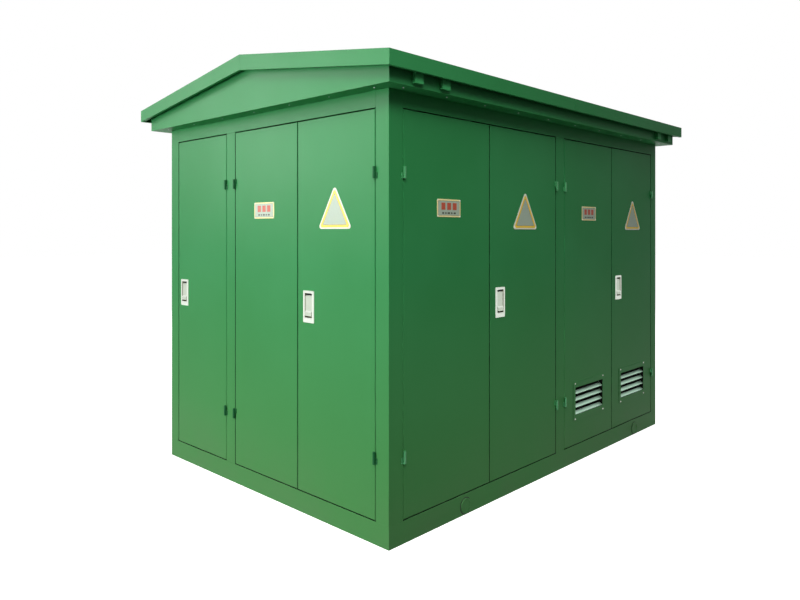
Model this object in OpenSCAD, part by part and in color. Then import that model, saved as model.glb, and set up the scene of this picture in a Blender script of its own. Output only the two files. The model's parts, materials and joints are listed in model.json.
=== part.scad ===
// Compact substation: a walk-around steel housing with a high-voltage room, a transformer room and a
// low-voltage room along the back, under a two-tier gable roof. Millimetres, +Z up.
// The origin is at the middle of the footprint, on the ground. The long front wall faces -Y.

/* [Housing] */
// Length over the end walls
body_l = 3000; // [2900:10:3300]
// Width over the long walls
body_w = 2070; // [2000:10:2300]
// Height of the base frame
base_h = 112; // [106:1:130]
// Height of the walls above the ground
wall_top = 2200; // [2150:10:2400]
// Sheet thickness of posts, rails and roof
sheet = 3; // [2.5:0.5:4]

/* [Door layout] */
// Front corner post beside the high-voltage doors
front_post_near = 100; // [90:1:120]
// Front corner post beside the transformer doors
front_post_far = 88; // [80:1:110]
// Mullion between the two front pairs
front_mullion = 104; // [96:1:120]
// Width of each high-voltage leaf on the front
hv_leaf_w = 703; // [650:1:740]
// End wall post at the front corner
end_post_front = 92; // [86:1:110]
// End wall post at the back corner
end_post_back = 94; // [86:1:110]
// Mullion on the end walls
end_mullion = 96; // [92:1:110]
// Width of the single leaf on the end wall
end_leaf_w = 580; // [540:1:620]
// Back wall corner posts
back_post = 100; // [90:1:120]
// Mullion on the back wall
back_mullion = 104; // [96:1:120]

/* [Leaves] */
// Gap round every leaf
door_gap = 5; // [4:0.5:7]
// Depth of a leaf
leaf_d = 30; // [26:1:34]
// Sheet thickness of a leaf
leaf_t = 2; // [1.5:0.5:3]
// Outer radius of the folds round a leaf
fold_r = 4; // [3:0.5:5]
// Width of the rear lip folded round a leaf
leaf_lip = 16; // [12:1:20]
// Height of the header rail above the leaves
header_h = 83; // [70:1:110]
// Width of the door stop
stop_w = 22; // [18:1:28]
// Thickness of the rubber seal on the stop
seal_t = 6; // [4:0.5:8]
// Number of stiffening ribs across a leaf
leaf_ribs = 4; // [3:1:5]

/* [Hinges] */
// Radius of the hinge barrel
barrel_r = 7.5; // [6.5:0.5:9]
// Radius of the hinge pin
pin_r = 4; // [3:0.5:5]
// Height of one hinge, both halves
hinge_h = 58; // [50:1:70]
// Height of the middle of the lower hinges
hinge_low_z = 421; // [350:1:500]
// Height of the middle of the upper hinges
hinge_high_z = 1803; // [1700:1:1900]

/* [Locks] */
// Width of the lock case
lock_w = 90; // [84:1:104]
// Height of the lock case
lock_h = 172; // [166:1:186]
// Height of the middle of the lock
lock_z = 1115; // [1000:1:1200]
// Distance from the edge of a paired leaf to its lock
lock_inset = 53; // [44:1:64]
// Distance from the edge of the single leaf to its lock
single_lock_inset = 39; // [34:1:54]
// Width of the flat lock bar
bar_w = 24; // [20:1:28]
// Lift of the lock lever in degrees
lever_lift = 60; // [50:1:65]
// Length of the lever's crank
crank_len = 22; // [21:0.5:23]
// Length of the bolts inside the passive leaves
bolt_len = 260; // [220:5:320]
// Travel of those bolts
bolt_travel = 18; // [14:1:22]

/* [Vents] */
// Width of a vent plate
vent_w = 430; // [400:1:450]
// Height of a vent plate
vent_h = 250; // [240:1:280]
// Height of the middle of the vents
vent_z = 400; // [350:1:500]
// Number of blades in a vent
blade_n = 4; // [3:1:4]

/* [Roof] */
// Overhang of the upper roof
cap_over = 147; // [135:1:180]
// Overhang of the lower roof tray
tray_over = 97; // [85:1:100]
// Height of the eave's upper edge above the walls
eave_up = 135; // [128:1:160]
// Rise of the ridge above the eave
ridge_up = 177; // [150:1:220]
// Depth of the fascia at the eave
fascia_eave = 74; // [66:1:84]
// Depth of the fascia at the ridge
fascia_ridge = 87; // [80:1:110]
// Side of the square crossbeams
beam = 60; // [50:1:64]

/* [Lifting pins] */
// Radius of a lifting pin
lift_r = 30; // [24:1:32]
// Radius of a lifting pin's end plate
lift_cap_r = 41; // [38:1:44]
// Travel of a lifting pin
lift_travel = 110; // [80:5:120]
// Distance from the left wall to the first pin
lift_near = 586; // [560:1:620]
// Distance from the right wall to the second pin
lift_far = 382; // [370:1:420]

/* [Equipment] */
// Width of the high-voltage switchgear
gear_w = 1125; // [1050:5:1150]
// Depth of the high-voltage switchgear
gear_d = 770; // [700:5:800]
// Height of the high-voltage switchgear
gear_h = 1560; // [1500:10:1700]
// Length of the transformer tank
tank_l = 860; // [800:5:900]
// Width of the transformer tank
tank_w = 420; // [380:5:440]
// Height of the transformer tank
tank_h = 780; // [700:5:850]
// Depth of the cooling fins
fin_d = 125; // [90:5:130]
// Length of the low-voltage switchboard
board_l = 2310; // [2200:10:2350]
// Depth of the low-voltage switchboard
board_d = 470; // [420:5:480]
// Height of the low-voltage switchboard
board_h = 1760; // [1700:10:1850]

/* [Hidden] */
$fn = 48;
eps = 0.5;
clear = 0.3;
fit_gap = 0.05;
half_l = body_l / 2;
half_w = body_w / 2;
tx_leaf_w = (body_l - front_post_near - front_post_far - front_mullion - 2 * hv_leaf_w) / 2;
end_pair_w = (body_w - end_post_front - end_post_back - end_mullion - end_leaf_w) / 2;
back_leaf_w = (body_l - 2 * back_post - back_mullion) / 4;

// Heights
leaf_bottom = base_h + door_gap;
header_bottom = wall_top - header_h;
leaf_top = header_bottom - door_gap;
leaf_height = leaf_top - leaf_bottom;
stop_y = leaf_d + seal_t;
stop_low = leaf_bottom + stop_w;
stop_high = header_bottom - stop_w;

// Hinges
pin_y = -(barrel_r + 1.5);
hinge_tab = 15;
hinge_zs = [hinge_low_z, hinge_high_z];

// Walls: outer corner of each wall at its left end as seen from outside, and its turn
FRONT = [[-half_l, -half_w, 0], 0];
LEFT = [[-half_l, half_w, 0], -90];
BACK = [[half_l, half_w, 0], 180];
RIGHT = [[half_l, -half_w, 0], 90];

// Leaves: wall, left edge, right edge, hinge side (-1 left, 1 right), distance to the lock or 0
front_b = front_post_near + hv_leaf_w;
front_c = front_b + hv_leaf_w + front_mullion;
left_2 = end_post_back + end_leaf_w + end_mullion;
back_g = back_post + 2 * back_leaf_w + back_mullion;
LEAF_A = [FRONT, front_post_near, front_b, -1, 0];
LEAF_B = [FRONT, front_b, front_b + hv_leaf_w, 1, lock_inset];
LEAF_C = [FRONT, front_c, front_c + tx_leaf_w, -1, 0];
LEAF_D = [FRONT, front_c + tx_leaf_w, front_c + 2 * tx_leaf_w, 1, lock_inset];
LEAF_1 = [LEFT, end_post_back, end_post_back + end_leaf_w, 1, single_lock_inset];
LEAF_2 = [LEFT, left_2, left_2 + end_pair_w, -1, 0];
LEAF_3 = [LEFT, left_2 + end_pair_w, left_2 + 2 * end_pair_w, 1, lock_inset];
LEAF_E = [BACK, back_post, back_post + back_leaf_w, -1, 0];
LEAF_F = [BACK, back_post + back_leaf_w, back_post + 2 * back_leaf_w, 1, lock_inset];
LEAF_G = [BACK, back_g, back_g + back_leaf_w, -1, 0];
LEAF_H = [BACK, back_g + back_leaf_w, back_g + 2 * back_leaf_w, 1, lock_inset];
LEAVES = [LEAF_A, LEAF_B, LEAF_C, LEAF_D, LEAF_1, LEAF_2, LEAF_3, LEAF_E, LEAF_F, LEAF_G, LEAF_H];
PASSIVE = [LEAF_A, LEAF_C, LEAF_2, LEAF_E, LEAF_G];

// Door openings: wall, left edge, right edge
OPENINGS = [
    [FRONT, front_post_near, front_b + hv_leaf_w],
    [FRONT, front_c, front_c + 2 * tx_leaf_w],
    [LEFT, end_post_back, end_post_back + end_leaf_w],
    [LEFT, left_2, left_2 + 2 * end_pair_w],
    [BACK, back_post, back_post + 2 * back_leaf_w],
    [BACK, back_g, back_g + 2 * back_leaf_w],
];

// Roof heights
eave_z = wall_top + eave_up;
ridge_z = eave_z + ridge_up;
cap_l = half_l + cap_over;
cap_w = half_w + cap_over;
tray_l = half_l + tray_over;
tray_w = half_w + tray_over;
pitch = ridge_up / cap_w;
beam_up = 15;
beam_z = wall_top + beam_up;
beam_out = 21;
beam_ins = [87, 288, 200, 10];
beam_xs = [-half_l + beam_ins[0], -half_l + beam_ins[1], half_l - beam_ins[2], half_l - beam_ins[3]];

// Rooms
room_wall_y = half_w - end_post_back - end_leaf_w - end_mullion / 2;
room_wall_x = -half_l + front_c - front_mullion / 2;
floor_t = 4;
floor_z = base_h + floor_t;
channel_w = 50;
channel_t = 6;

// Locks: local frame at the middle of the case, on the leaf's outer face
rim_out = 5;
rim_w = 15;
case_d = 22;
case_t = 2;
side_gap = 2;
lever_w = lock_w - 2 * rim_w - 2 * side_gap;
pivot_drop = 29;
pivot_z = lock_h / 2 - pivot_drop;
pivot_y = 6;
bar_y = case_d + 1.5;
bar_t = 4;
throw = 2 * crank_len * sin(lever_lift / 2);
bar_top = leaf_top + 2 - lock_z;
bar_margin = 16;
bar_bottom = leaf_bottom + leaf_t + throw + bar_margin - lock_z;
bolt_r = 7;
bolt_back = 10;
bolt_y = leaf_d - bolt_back;
bolt_low = leaf_top - 2 - bolt_len;

function lock_u(leaf) = leaf[3] > 0
    ? leaf[1] + leaf[4] + lock_w / 2
    : leaf[2] - leaf[4] - lock_w / 2;
function hinge_u(leaf) = leaf[3] > 0 ? leaf[2] : leaf[1];
function bolt_u(leaf) = leaf[3] > 0 ? leaf[1] + 32 : leaf[2] - 32;
function leaf_mid(leaf) = (leaf[1] + leaf[2]) / 2;
function under_cap(y) = eave_z + (cap_w - abs(y)) * pitch - sheet - clear;

// Puts children drawn in a wall's own frame (x to the right, y inwards) on that wall
module on_wall(wall) {
    translate(wall[0]) rotate([0, 0, wall[1]]) children();
}

// Puts children drawn in a lock's own frame on its leaf
module on_lock(leaf) {
    on_wall(leaf[0]) translate([lock_u(leaf), 0, lock_z]) children();
}

// A bar along X whose section is drawn in the Y-Z plane
module along_x(length) {
    rotate([90, 0, 90]) linear_extrude(length) children();
}

// A bar along Y whose section is drawn in the X-Z plane
module along_y(length) {
    translate([0, length, 0]) rotate([90, 0, 0]) linear_extrude(length) children();
}

// Base frame

module channel_section(height) {
    difference() {
        square([channel_w, height]);
        translate([channel_t, channel_t]) square([channel_w, height - 2 * channel_t]);
    }
}

// One side of the base ring along +X, outer face at y = 0, ends mitred
module base_side(length) {
    intersection() {
        along_x(length) channel_section(base_h);
        linear_extrude(base_h) polygon([[0, 0], [length, 0], [length - channel_w, channel_w],
            [channel_w, channel_w]]);
    }
}

lift_z = base_h * 0.43;
sleeve_t = 7;
sleeve_r = lift_r + sleeve_t;
pin_hold = 135;
sleeve_l = pin_hold + lift_travel;
anchor_r = 9;
anchor_in = channel_t + (channel_w - channel_t) / 2;
anchor_end = 150;
cross_gear = [300, 1050];
cross_tank = [420, 940];
cross_xs = [-half_l + cross_gear[0], -half_l + cross_gear[1], room_wall_x,
    room_wall_x + cross_tank[0], room_wall_x + cross_tank[1]];
sill_lap = 12;

module lifting_rail(pin_us) {
    difference() {
        union() {
            base_side(body_l);
            for (u = pin_us)
                translate([u, channel_t - eps, lift_z]) rotate([-90, 0, 0])
                    cylinder(r = sleeve_r, h = sleeve_l);
        }
        for (u = pin_us)
            translate([u, -eps, lift_z]) rotate([-90, 0, 0])
                cylinder(r = lift_r + fit_gap, h = sleeve_l + 4 * channel_t);
        for (u = [anchor_end, body_l - anchor_end])
            translate([u, anchor_in, -eps]) cylinder(r = anchor_r, h = channel_t + 2 * eps);
    }
}

// A cross member flush with the ring, its web run on between the flanges of the long sides
module cross_member() {
    translate([0, -half_w + channel_w, 0]) along_y(body_w - 2 * channel_w) channel_section(base_h);
    translate([0, -half_w + channel_t, channel_t])
        cube([channel_t, body_w - 2 * channel_t, base_h - 2 * channel_t]);
}

// A sill bar behind the foot of the leaves in one opening
module sill_stop(wall, u0, u1) {
    on_wall(wall) translate([u0 + door_gap / 2, 0, 0]) along_x(u1 - u0 - door_gap) {
        translate([stop_y - sill_lap, base_h]) square([sill_lap + sheet, sheet]);
        translate([stop_y, base_h]) square([sheet, stop_low - base_h]);
    }
}

end_big = [end_post_front, end_post_front + 2 * end_pair_w];
end_small = [end_post_front + 2 * end_pair_w + end_mullion, body_w - end_post_back];

module base_frame() {
    color("seagreen") {
        on_wall(FRONT) lifting_rail([lift_near, body_l - lift_far]);
        on_wall(BACK) lifting_rail([lift_far, body_l - lift_near]);
        on_wall(LEFT) base_side(body_w);
        on_wall(RIGHT) base_side(body_w);
        for (x = cross_xs) translate([x, 0, 0]) cross_member();
        for (o = OPENINGS) sill_stop(o[0], o[1], o[2]);
        sill_stop(RIGHT, end_big[0], end_big[1]);
        sill_stop(RIGHT, end_small[0], end_small[1]);
    }
}

pin_wall = 8;
pin_bore_r = lift_r - pin_wall;
cap_t = 7;

// A lifting pin drawn along +Y from the wall face, its end plate outside
module lifting_pin(wall, u) {
    color("seagreen") on_wall(wall) translate([u, 0, lift_z]) rotate([-90, 0, 0])
        rotate_extrude() polygon([[0, -cap_t + 2], [lift_cap_r - pin_wall, -cap_t + 2],
            [lift_cap_r - pin_wall, -cap_t], [lift_cap_r - 1.5, -cap_t], [lift_cap_r, -cap_t + 1.5],
            [lift_cap_r, 0], [lift_r, 0], [lift_r, sleeve_l - 4], [lift_r - 4, sleeve_l],
            [pin_bore_r, sleeve_l], [pin_bore_r, pin_wall], [0, pin_wall]]);
}

// Floor

cable_bay_w = 420;
bay_in = 60;

module floor_plate(x0, x1, y0, y1, bay) {
    translate([0, 0, base_h]) difference() {
        translate([x0, y0, 0]) cube([x1 - x0, y1 - y0, floor_t]);
        translate([bay[0], bay[1], -eps]) cube([bay[2], bay[3], floor_t + 2 * eps]);
    }
}

floor_in = stop_y + sheet + 3;
floor_joint = 1;
gear_setback = 265;
board_setback = 180;
gear_x = (-half_l + room_wall_x) / 2 - gear_w / 2;
gear_y = -half_w + gear_setback;
tank_x = (room_wall_x + half_l) / 2 - tank_l / 2;
tank_y = (-half_w + room_wall_y) / 2 - tank_w / 2;
board_x = -board_l / 2;
board_front = half_w - board_setback;

module floor_plates() {
    color("dimgray") {
        floor_plate(-half_l + floor_in, room_wall_x - floor_joint, -half_w + floor_in, room_wall_y,
            [gear_x + bay_in, gear_y + bay_in, gear_w - 2 * bay_in, cable_bay_w]);
        floor_plate(room_wall_x, half_l - floor_in, -half_w + floor_in, room_wall_y,
            [tank_x + 2.5 * bay_in, tank_y + bay_in, tank_l - 5 * bay_in, tank_w - 2 * bay_in]);
        floor_plate(-half_l + floor_in, half_l - floor_in, room_wall_y + floor_joint, half_w - floor_in,
            [board_x + bay_in, board_front - board_d + bay_in, board_l - 2 * bay_in, board_d - 2 * bay_in]);
    }
}

// Wall frame

// Plan of a corner post from its outer corner: face a along +x, face b along +y
module corner_plan(a, b) {
    square([a, sheet]);
    translate([a - sheet, 0]) square([sheet, stop_y]);
    square([sheet, b]);
    translate([0, b - sheet]) square([stop_y, sheet]);
}

module corner_stops(a, b) {
    translate([a - sheet, stop_y - sheet]) square([sheet, 2 * sheet]);
    translate([a - sheet, stop_y]) square([sheet + stop_w, sheet]);
    translate([stop_y - sheet, b - sheet]) square([2 * sheet, sheet]);
    translate([stop_y, b - sheet]) square([sheet, sheet + stop_w]);
}

// a is the face on the wall to the right of the corner, b the face on the wall to its left
module corner_post(wall, a, b) {
    on_wall(wall) {
        translate([0, 0, base_h]) linear_extrude(wall_top - base_h)
            corner_plan(a - door_gap / 2, b - door_gap / 2);
        translate([0, 0, stop_low]) linear_extrude(stop_high - stop_low)
            corner_stops(a - door_gap / 2, b - door_gap / 2);
    }
}

// A hat section with a door stop on each side, left edge at u
module mullion(wall, u, width) {
    w = width + door_gap;
    on_wall(wall) translate([u - door_gap / 2, 0, 0]) {
        translate([door_gap, 0, base_h]) linear_extrude(header_bottom - base_h) {
            square([w - 2 * door_gap, sheet]);
            for (x = [0, w - 2 * door_gap - sheet]) translate([x, 0]) square([sheet, stop_y]);
        }
        translate([door_gap, 0, stop_low]) linear_extrude(stop_high - stop_low) {
            translate([-stop_w, stop_y]) square([w - 2 * door_gap + 2 * stop_w, sheet]);
            for (x = [0, w - 2 * door_gap - sheet])
                translate([x, stop_y - sheet]) square([sheet, 2 * sheet]);
        }
    }
}

module wall_posts() {
    color("seagreen") {
        corner_post(FRONT, front_post_near, end_post_front);
        corner_post(LEFT, end_post_back, back_post);
        corner_post(BACK, back_post, end_post_back);
        corner_post(RIGHT, end_post_front, front_post_far);
        mullion(FRONT, front_c - front_mullion, front_mullion);
        mullion(LEFT, left_2 - end_mullion, end_mullion);
        mullion(BACK, back_g - back_mullion, back_mullion);
        mullion(RIGHT, end_big[1], end_mullion);
    }
}

module header_section() {
    translate([0, header_bottom]) square([sheet, header_h]);
    translate([0, header_bottom]) square([stop_y + sheet, sheet]);
    translate([stop_y, stop_high]) square([sheet, stop_w + sheet]);
    translate([0, wall_top - sheet]) square([stop_y, sheet]);
}

module header_rail(wall, length, left_post, right_post) {
    u0 = left_post - door_gap / 2;
    on_wall(wall) translate([u0, 0, 0])
        along_x(length - u0 - right_post + door_gap / 2) header_section();
}

module header_rails() {
    color("seagreen") difference() {
        union() {
            header_rail(FRONT, body_l, front_post_near, front_post_far);
            header_rail(LEFT, body_w, end_post_back, end_post_front);
            header_rail(BACK, body_l, back_post, back_post);
            header_rail(RIGHT, body_w, end_post_front, end_post_back);
        }
        for (leaf = PASSIVE) on_wall(leaf[0]) translate([bolt_u(leaf), bolt_y, header_bottom - eps])
            cylinder(r = bolt_r + 1, h = sheet + 2 * eps);
        for (leaf = LEAVES) if (leaf[4] > 0)
            on_wall(leaf[0]) translate([lock_u(leaf) - bar_w / 2 - 1, bar_y - 1, header_bottom - eps])
                cube([bar_w + 2, bar_t + 2, sheet + 2 * eps]);
    }
}

seal_w = 14;

// A rubber frame on the stops of one opening, just clear of the closed leaves
module door_seal(o) {
    w = o[2] - o[1];
    h = header_bottom - leaf_bottom;
    on_wall(o[0]) translate([o[1], leaf_d + clear, leaf_bottom]) difference() {
        translate([door_gap, 0, 3]) cube([w - 2 * door_gap, seal_t - clear, h - 6]);
        translate([door_gap + seal_w, -eps, 3 + seal_w])
            cube([w - 2 * (door_gap + seal_w), seal_t + 2 * eps, h - 6 - 2 * seal_w]);
    }
}

module door_seals() {
    color("dimgray") for (o = OPENINGS) door_seal(o);
}

rib_pitch = 460;
wall_rib_w = 40;
wall_rib_d = 20;
wall_foot = 30;
slot_round = 12;

// Folded partition sheets with upright ribs
module partition_sheet(length, height) {
    rib_n = floor(length / rib_pitch);
    cube([length, sheet, height]);
    translate([0, -wall_foot, 0]) cube([length, wall_foot + eps, sheet]);
    for (i = [1 : rib_n])
        translate([i * length / (rib_n + 1) - wall_rib_w / 2, -wall_rib_d, sheet])
            difference() {
                cube([wall_rib_w, wall_rib_d + eps, height - sheet]);
                translate([sheet, sheet, -eps]) cube([wall_rib_w - 2 * sheet, wall_rib_w, height]);
            }
}

module partition_walls() {
    h = wall_top - floor_z;
    inner = stop_y + sheet + 1;
    color("seagreen") {
        translate([-half_l + inner, room_wall_y, floor_z]) difference() {
            partition_sheet(body_l - 2 * inner, h);
            for (i = [0 : 3])
                translate([busbar_x(i) - busbar_w / 2 - slot_round + half_l - inner, -2 * wall_foot,
                    busbar_z - floor_z - slot_round])
                    cube([busbar_w + 2 * slot_round, 4 * wall_foot, busbar_t + 2 * slot_round]);
        }
        translate([room_wall_x, room_wall_y - wall_foot, floor_z]) rotate([0, 0, -90]) difference() {
            partition_sheet(room_wall_y + half_w - wall_foot - inner, h);
            for (i = [-1 : 1])
                translate([room_wall_y - wall_foot - (tank_mid_y + i * hv_pitch), -2 * wall_foot,
                    cable_z - floor_z])
                    rotate([-90, 0, 0]) cylinder(r = cable_r + 3, h = 4 * wall_foot);
        }
    }
}

// Leaves and end panels

// A rectangle whose two corners at y = 0 are rounded
module soft_front(w, d, r) {
    translate([r, 0]) square([w - 2 * r, d]);
    translate([0, r]) square([w, d - r]);
    for (x = [r, w - r]) translate([x, r]) circle(r);
}

// A block whose four front edges are folds of radius r
module folded_block(width, depth, height, r) {
    intersection() {
        linear_extrude(height) soft_front(width, depth, r);
        rotate([0, -90, 0]) mirror([0, 0, 1]) linear_extrude(width) soft_front(height, depth, r);
    }
}

// A folded pan with a rear lip, outer face at y = 0
module pan(width, height, depth) {
    difference() {
        folded_block(width, depth, height, fold_r);
        translate([leaf_t, leaf_t, leaf_t])
            folded_block(width - 2 * leaf_t, depth - 2 * leaf_t, height - 2 * leaf_t, fold_r - leaf_t);
        translate([leaf_lip, depth - leaf_t - eps, leaf_lip])
            cube([width - 2 * leaf_lip, leaf_t + 2 * eps, height - 2 * leaf_lip]);
    }
}

rib_h = 60;
rib_d = 18;

module pan_rib(width) {
    translate([leaf_t - eps, leaf_t - eps, 0]) difference() {
        cube([width - 2 * leaf_t + 2 * eps, rib_d, rib_h]);
        translate([-eps, -eps, leaf_t]) cube([width, rib_d - leaf_t, rib_h - 2 * leaf_t]);
    }
}

function rib_z(i) = leaf_height * (i + 0.65) / (leaf_ribs + 0.3);

vent_open_w = 372;
vent_open_h = 180;
vent_box_t = 2;
vent_box_w = vent_open_w + 2 * vent_box_t;
vent_box_h = vent_open_h + 2 * vent_box_t;

// The hole that a vent box goes through, its middle at the origin
module vent_hole() {
    translate([-vent_box_w / 2 - 2, -eps, -vent_box_h / 2 - 2])
        cube([vent_box_w + 4, stop_y + 2 * eps, vent_box_h + 4]);
}

// The upper half of a hinge, welded to its leaf, drawn on the hinge's axis
module leaf_knuckle(side) {
    translate([0, 0, clear]) difference() {
        union() {
            cylinder(r = barrel_r, h = hinge_h / 2 - clear);
            translate([side > 0 ? -hinge_tab : 0, 0, 0])
                cube([hinge_tab, -pin_y + 1, hinge_h / 2 - clear]);
        }
        translate([side > 0 ? -hinge_tab - eps : door_gap, -eps, -eps])
            cube([hinge_tab + eps - door_gap, -pin_y - 4 + eps, hinge_h]);
        translate([side > 0 ? -door_gap / 2 : -eps, -pin_y - 1.5, -eps])
            cube([door_gap / 2 + eps, 8, hinge_h]);
        translate([0, 0, -eps]) cylinder(r = pin_r + fit_gap, h = hinge_h / 2 - 4 + eps);
    }
}

// The lower half of a hinge with its pin, welded to the frame
module frame_knuckle(side) {
    translate([0, 0, -hinge_h / 2]) difference() {
        union() {
            cylinder(r = barrel_r, h = hinge_h / 2);
            cylinder(r = pin_r, h = hinge_h - 5);
            translate([side > 0 ? 0 : -hinge_tab, 0, 0]) cube([hinge_tab, -pin_y, hinge_h / 2]);
        }
        translate([side > 0 ? door_gap : -hinge_tab - eps, -eps, -eps])
            cube([hinge_tab + eps - door_gap, -pin_y - 4 + eps, hinge_h]);
        translate([side > 0 ? -eps : -door_gap / 2, -pin_y - 1.5, -eps])
            cube([door_gap / 2 + eps, 8, hinge_h]);
    }
}

module hinge_frame_halves() {
    color("mediumseagreen") for (leaf = LEAVES, z = hinge_zs)
        on_wall(leaf[0]) translate([hinge_u(leaf), pin_y, z]) frame_knuckle(leaf[3]);
}

// The part of the leaf that the lock needs: the case's hole and the bar's slot and guides
module lock_cuts(leaf) {
    translate([lock_u(leaf), 0, 0]) {
        translate([-lock_w / 2 + 6, -eps, lock_z - lock_h / 2 + 6])
            cube([lock_w - 12, leaf_d - leaf_t, lock_h - 12]);
        translate([-bar_w / 2 - 1, bar_y - 1, leaf_top - 2 * leaf_t])
            cube([bar_w + 2, bar_t + 2, 4 * leaf_t]);
    }
}

guide_h = 24;

module bar_guide() {
    difference() {
        translate([-bar_w / 2 - 5, rib_d, 0]) cube([bar_w + 10, bar_y + bar_t + 2 - rib_d, guide_h]);
        translate([-bar_w / 2 - 1, bar_y - 1, -eps]) cube([bar_w + 2, bar_t + 2, guide_h + 2 * eps]);
    }
}

bolt_guide_zs = [bolt_low + 25, leaf_top - 50];

// Two bored blocks behind the top corner of a passive leaf
module bolt_guides(leaf) {
    for (z = bolt_guide_zs) translate([bolt_u(leaf) - 12, leaf_t - eps, z])
        cube([24, leaf_d - leaf_t + eps, 20]);
}

module bolt_bore(leaf) {
    translate([bolt_u(leaf), bolt_y, bolt_low - bolt_travel])
        cylinder(r = bolt_r + fit_gap, h = bolt_len + 3 * bolt_travel);
}

module leaf_pan(leaf, vent) {
    w = leaf[2] - leaf[1] - door_gap;
    translate([leaf[1] + door_gap / 2, 0, leaf_bottom]) {
        pan(w, leaf_height, leaf_d);
        for (i = [0 : leaf_ribs - 1])
            if (!vent || i > 0) translate([0, 0, rib_z(i)]) pan_rib(w);
    }
    if (leaf[4] > 0)
        for (i = [0 : leaf_ribs - 1])
            if (!vent || i > 0)
                translate([lock_u(leaf), 0, leaf_bottom + rib_z(i) + (rib_h - guide_h) / 2]) bar_guide();
}

module leaf(leaf, vent = false) {
    color("seagreen") on_wall(leaf[0]) {
        difference() {
            union() {
                leaf_pan(leaf, vent);
                if (leaf[4] == 0) bolt_guides(leaf);
            }
            if (leaf[4] > 0) lock_cuts(leaf);
            if (leaf[4] == 0) bolt_bore(leaf);
            if (vent) translate([leaf_mid(leaf), 0, vent_z]) vent_hole();
        }
        for (z = hinge_zs)
            translate([hinge_u(leaf), pin_y, z]) leaf_knuckle(leaf[3]);
    }
}

// A round bolt with a thumb stud, just below the header when it is drawn back
module leaf_bolt(leaf) {
    stud_z = (bolt_guide_zs[0] + bolt_guide_zs[1] + 20) / 2;
    color("silver") on_wall(leaf[0]) translate([bolt_u(leaf), bolt_y, 0]) {
        translate([0, 0, bolt_low]) cylinder(r = bolt_r, h = bolt_len);
        translate([0, 0, stud_z]) rotate([-90, 0, 0]) cylinder(r = 5, h = 26);
    }
}

vent_us = [end_big[0] + end_pair_w / 2, end_big[0] + end_pair_w * 1.5];

// A fixed panel, its rear lip bolted down on the stops of its opening
module end_panel(span, vents) {
    w = span[1] - span[0] - door_gap;
    difference() {
        translate([span[0] + door_gap / 2, 0, leaf_bottom]) {
            pan(w, leaf_height, stop_y);
            for (i = [0 : leaf_ribs - 1])
                if (len(vents) == 0 || i > 0) translate([0, 0, rib_z(i)]) pan_rib(w);
        }
        for (u = vents) translate([u, 0, vent_z]) vent_hole();
    }
}

module end_panels() {
    color("seagreen") on_wall(RIGHT) {
        end_panel(end_big, vent_us);
        end_panel(end_small, []);
        for (u = vent_us) translate([u, 0, vent_z]) vent();
    }
}

// Vents

vent_t = 2.5;
blade_run = 28;
blade_rise = 23;
blade_t = 2;
blade_low = 2;
blade_in = 1;
blade_pitch = vent_open_h / blade_n;

// One sloped blade, its front edge low and outside
module blade() {
    along_x(vent_open_w + 2) polygon([[0, 0], [blade_run, blade_rise],
        [blade_run, blade_rise + blade_t], [0, blade_t]]);
}

module vent() {
    union() {
        difference() {
            union() {
                translate([-vent_w / 2, -vent_t, -vent_h / 2]) cube([vent_w, vent_t, vent_h]);
                translate([-vent_box_w / 2, -eps, -vent_box_h / 2])
                    cube([vent_box_w, blade_run + 2 + eps, vent_box_h]);
            }
            translate([-vent_open_w / 2, -vent_t - eps, -vent_open_h / 2])
                cube([vent_open_w, blade_run + vent_t + 4, vent_open_h]);
        }
        for (i = [0 : blade_n - 1])
            translate([-vent_open_w / 2 - 1, blade_in, -vent_open_h / 2 + blade_low + i * blade_pitch])
                blade();
    }
}

module leaf_vent(leaf) {
    color("darkseagreen") on_wall(leaf[0]) translate([leaf_mid(leaf), 0, vent_z]) vent();
}

// Locks

head_h = 14;
recess_drop = 151;
recess_top = lock_h / 2 - head_h;
recess_bottom = lock_h / 2 - recess_drop;
recess_h = recess_top - recess_bottom;
recess_w = lock_w - 2 * rim_w;
trunnion_r = 2.5;
crank_w = 10;
crank_t = 5;
crank_rise = crank_len * sin(lever_lift / 2);

rim_slope = 2;
rim_r = 5;

// The rim's outline, smaller by the slope at its face
module rim_plate(inset, depth) {
    rotate([90, 0, 0]) linear_extrude(depth) offset(r = rim_r)
        square([lock_w - 2 * (rim_r + inset), lock_h - 2 * (rim_r + inset)], center = true);
}

// A pressed tub with a wide rim, open at the back where the crank goes through
module lock_case(leaf) {
    color("silver") on_lock(leaf) difference() {
        union() {
            hull() {
                rim_plate(0, rim_out - rim_slope);
                rim_plate(rim_slope, rim_out);
            }
            translate([-recess_w / 2 - case_t, -eps, recess_bottom - case_t])
                cube([recess_w + 2 * case_t, case_d + eps, recess_h + 2 * case_t]);
        }
        translate([-recess_w / 2, -rim_out - eps, recess_bottom])
            cube([recess_w, rim_out + case_d - case_t + eps, recess_h]);
        translate([-crank_w / 2 - 2, 0, pivot_z - crank_rise - 4])
            cube([crank_w + 4, case_d + 2, 2 * crank_rise + 6]);
        translate([-recess_w / 2 - case_t - eps, pivot_y, pivot_z]) rotate([0, 90, 0])
            cylinder(r = trunnion_r + fit_gap, h = recess_w + 2 * case_t + 2 * eps);
    }
}

knuckle_r = 5;
lever_t = 5;
lever_face = -2;
finger_gap = 16;
grip_h = 28;
grip_out = 5;
grip_slope = 9;
groove_h = 6;

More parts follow.
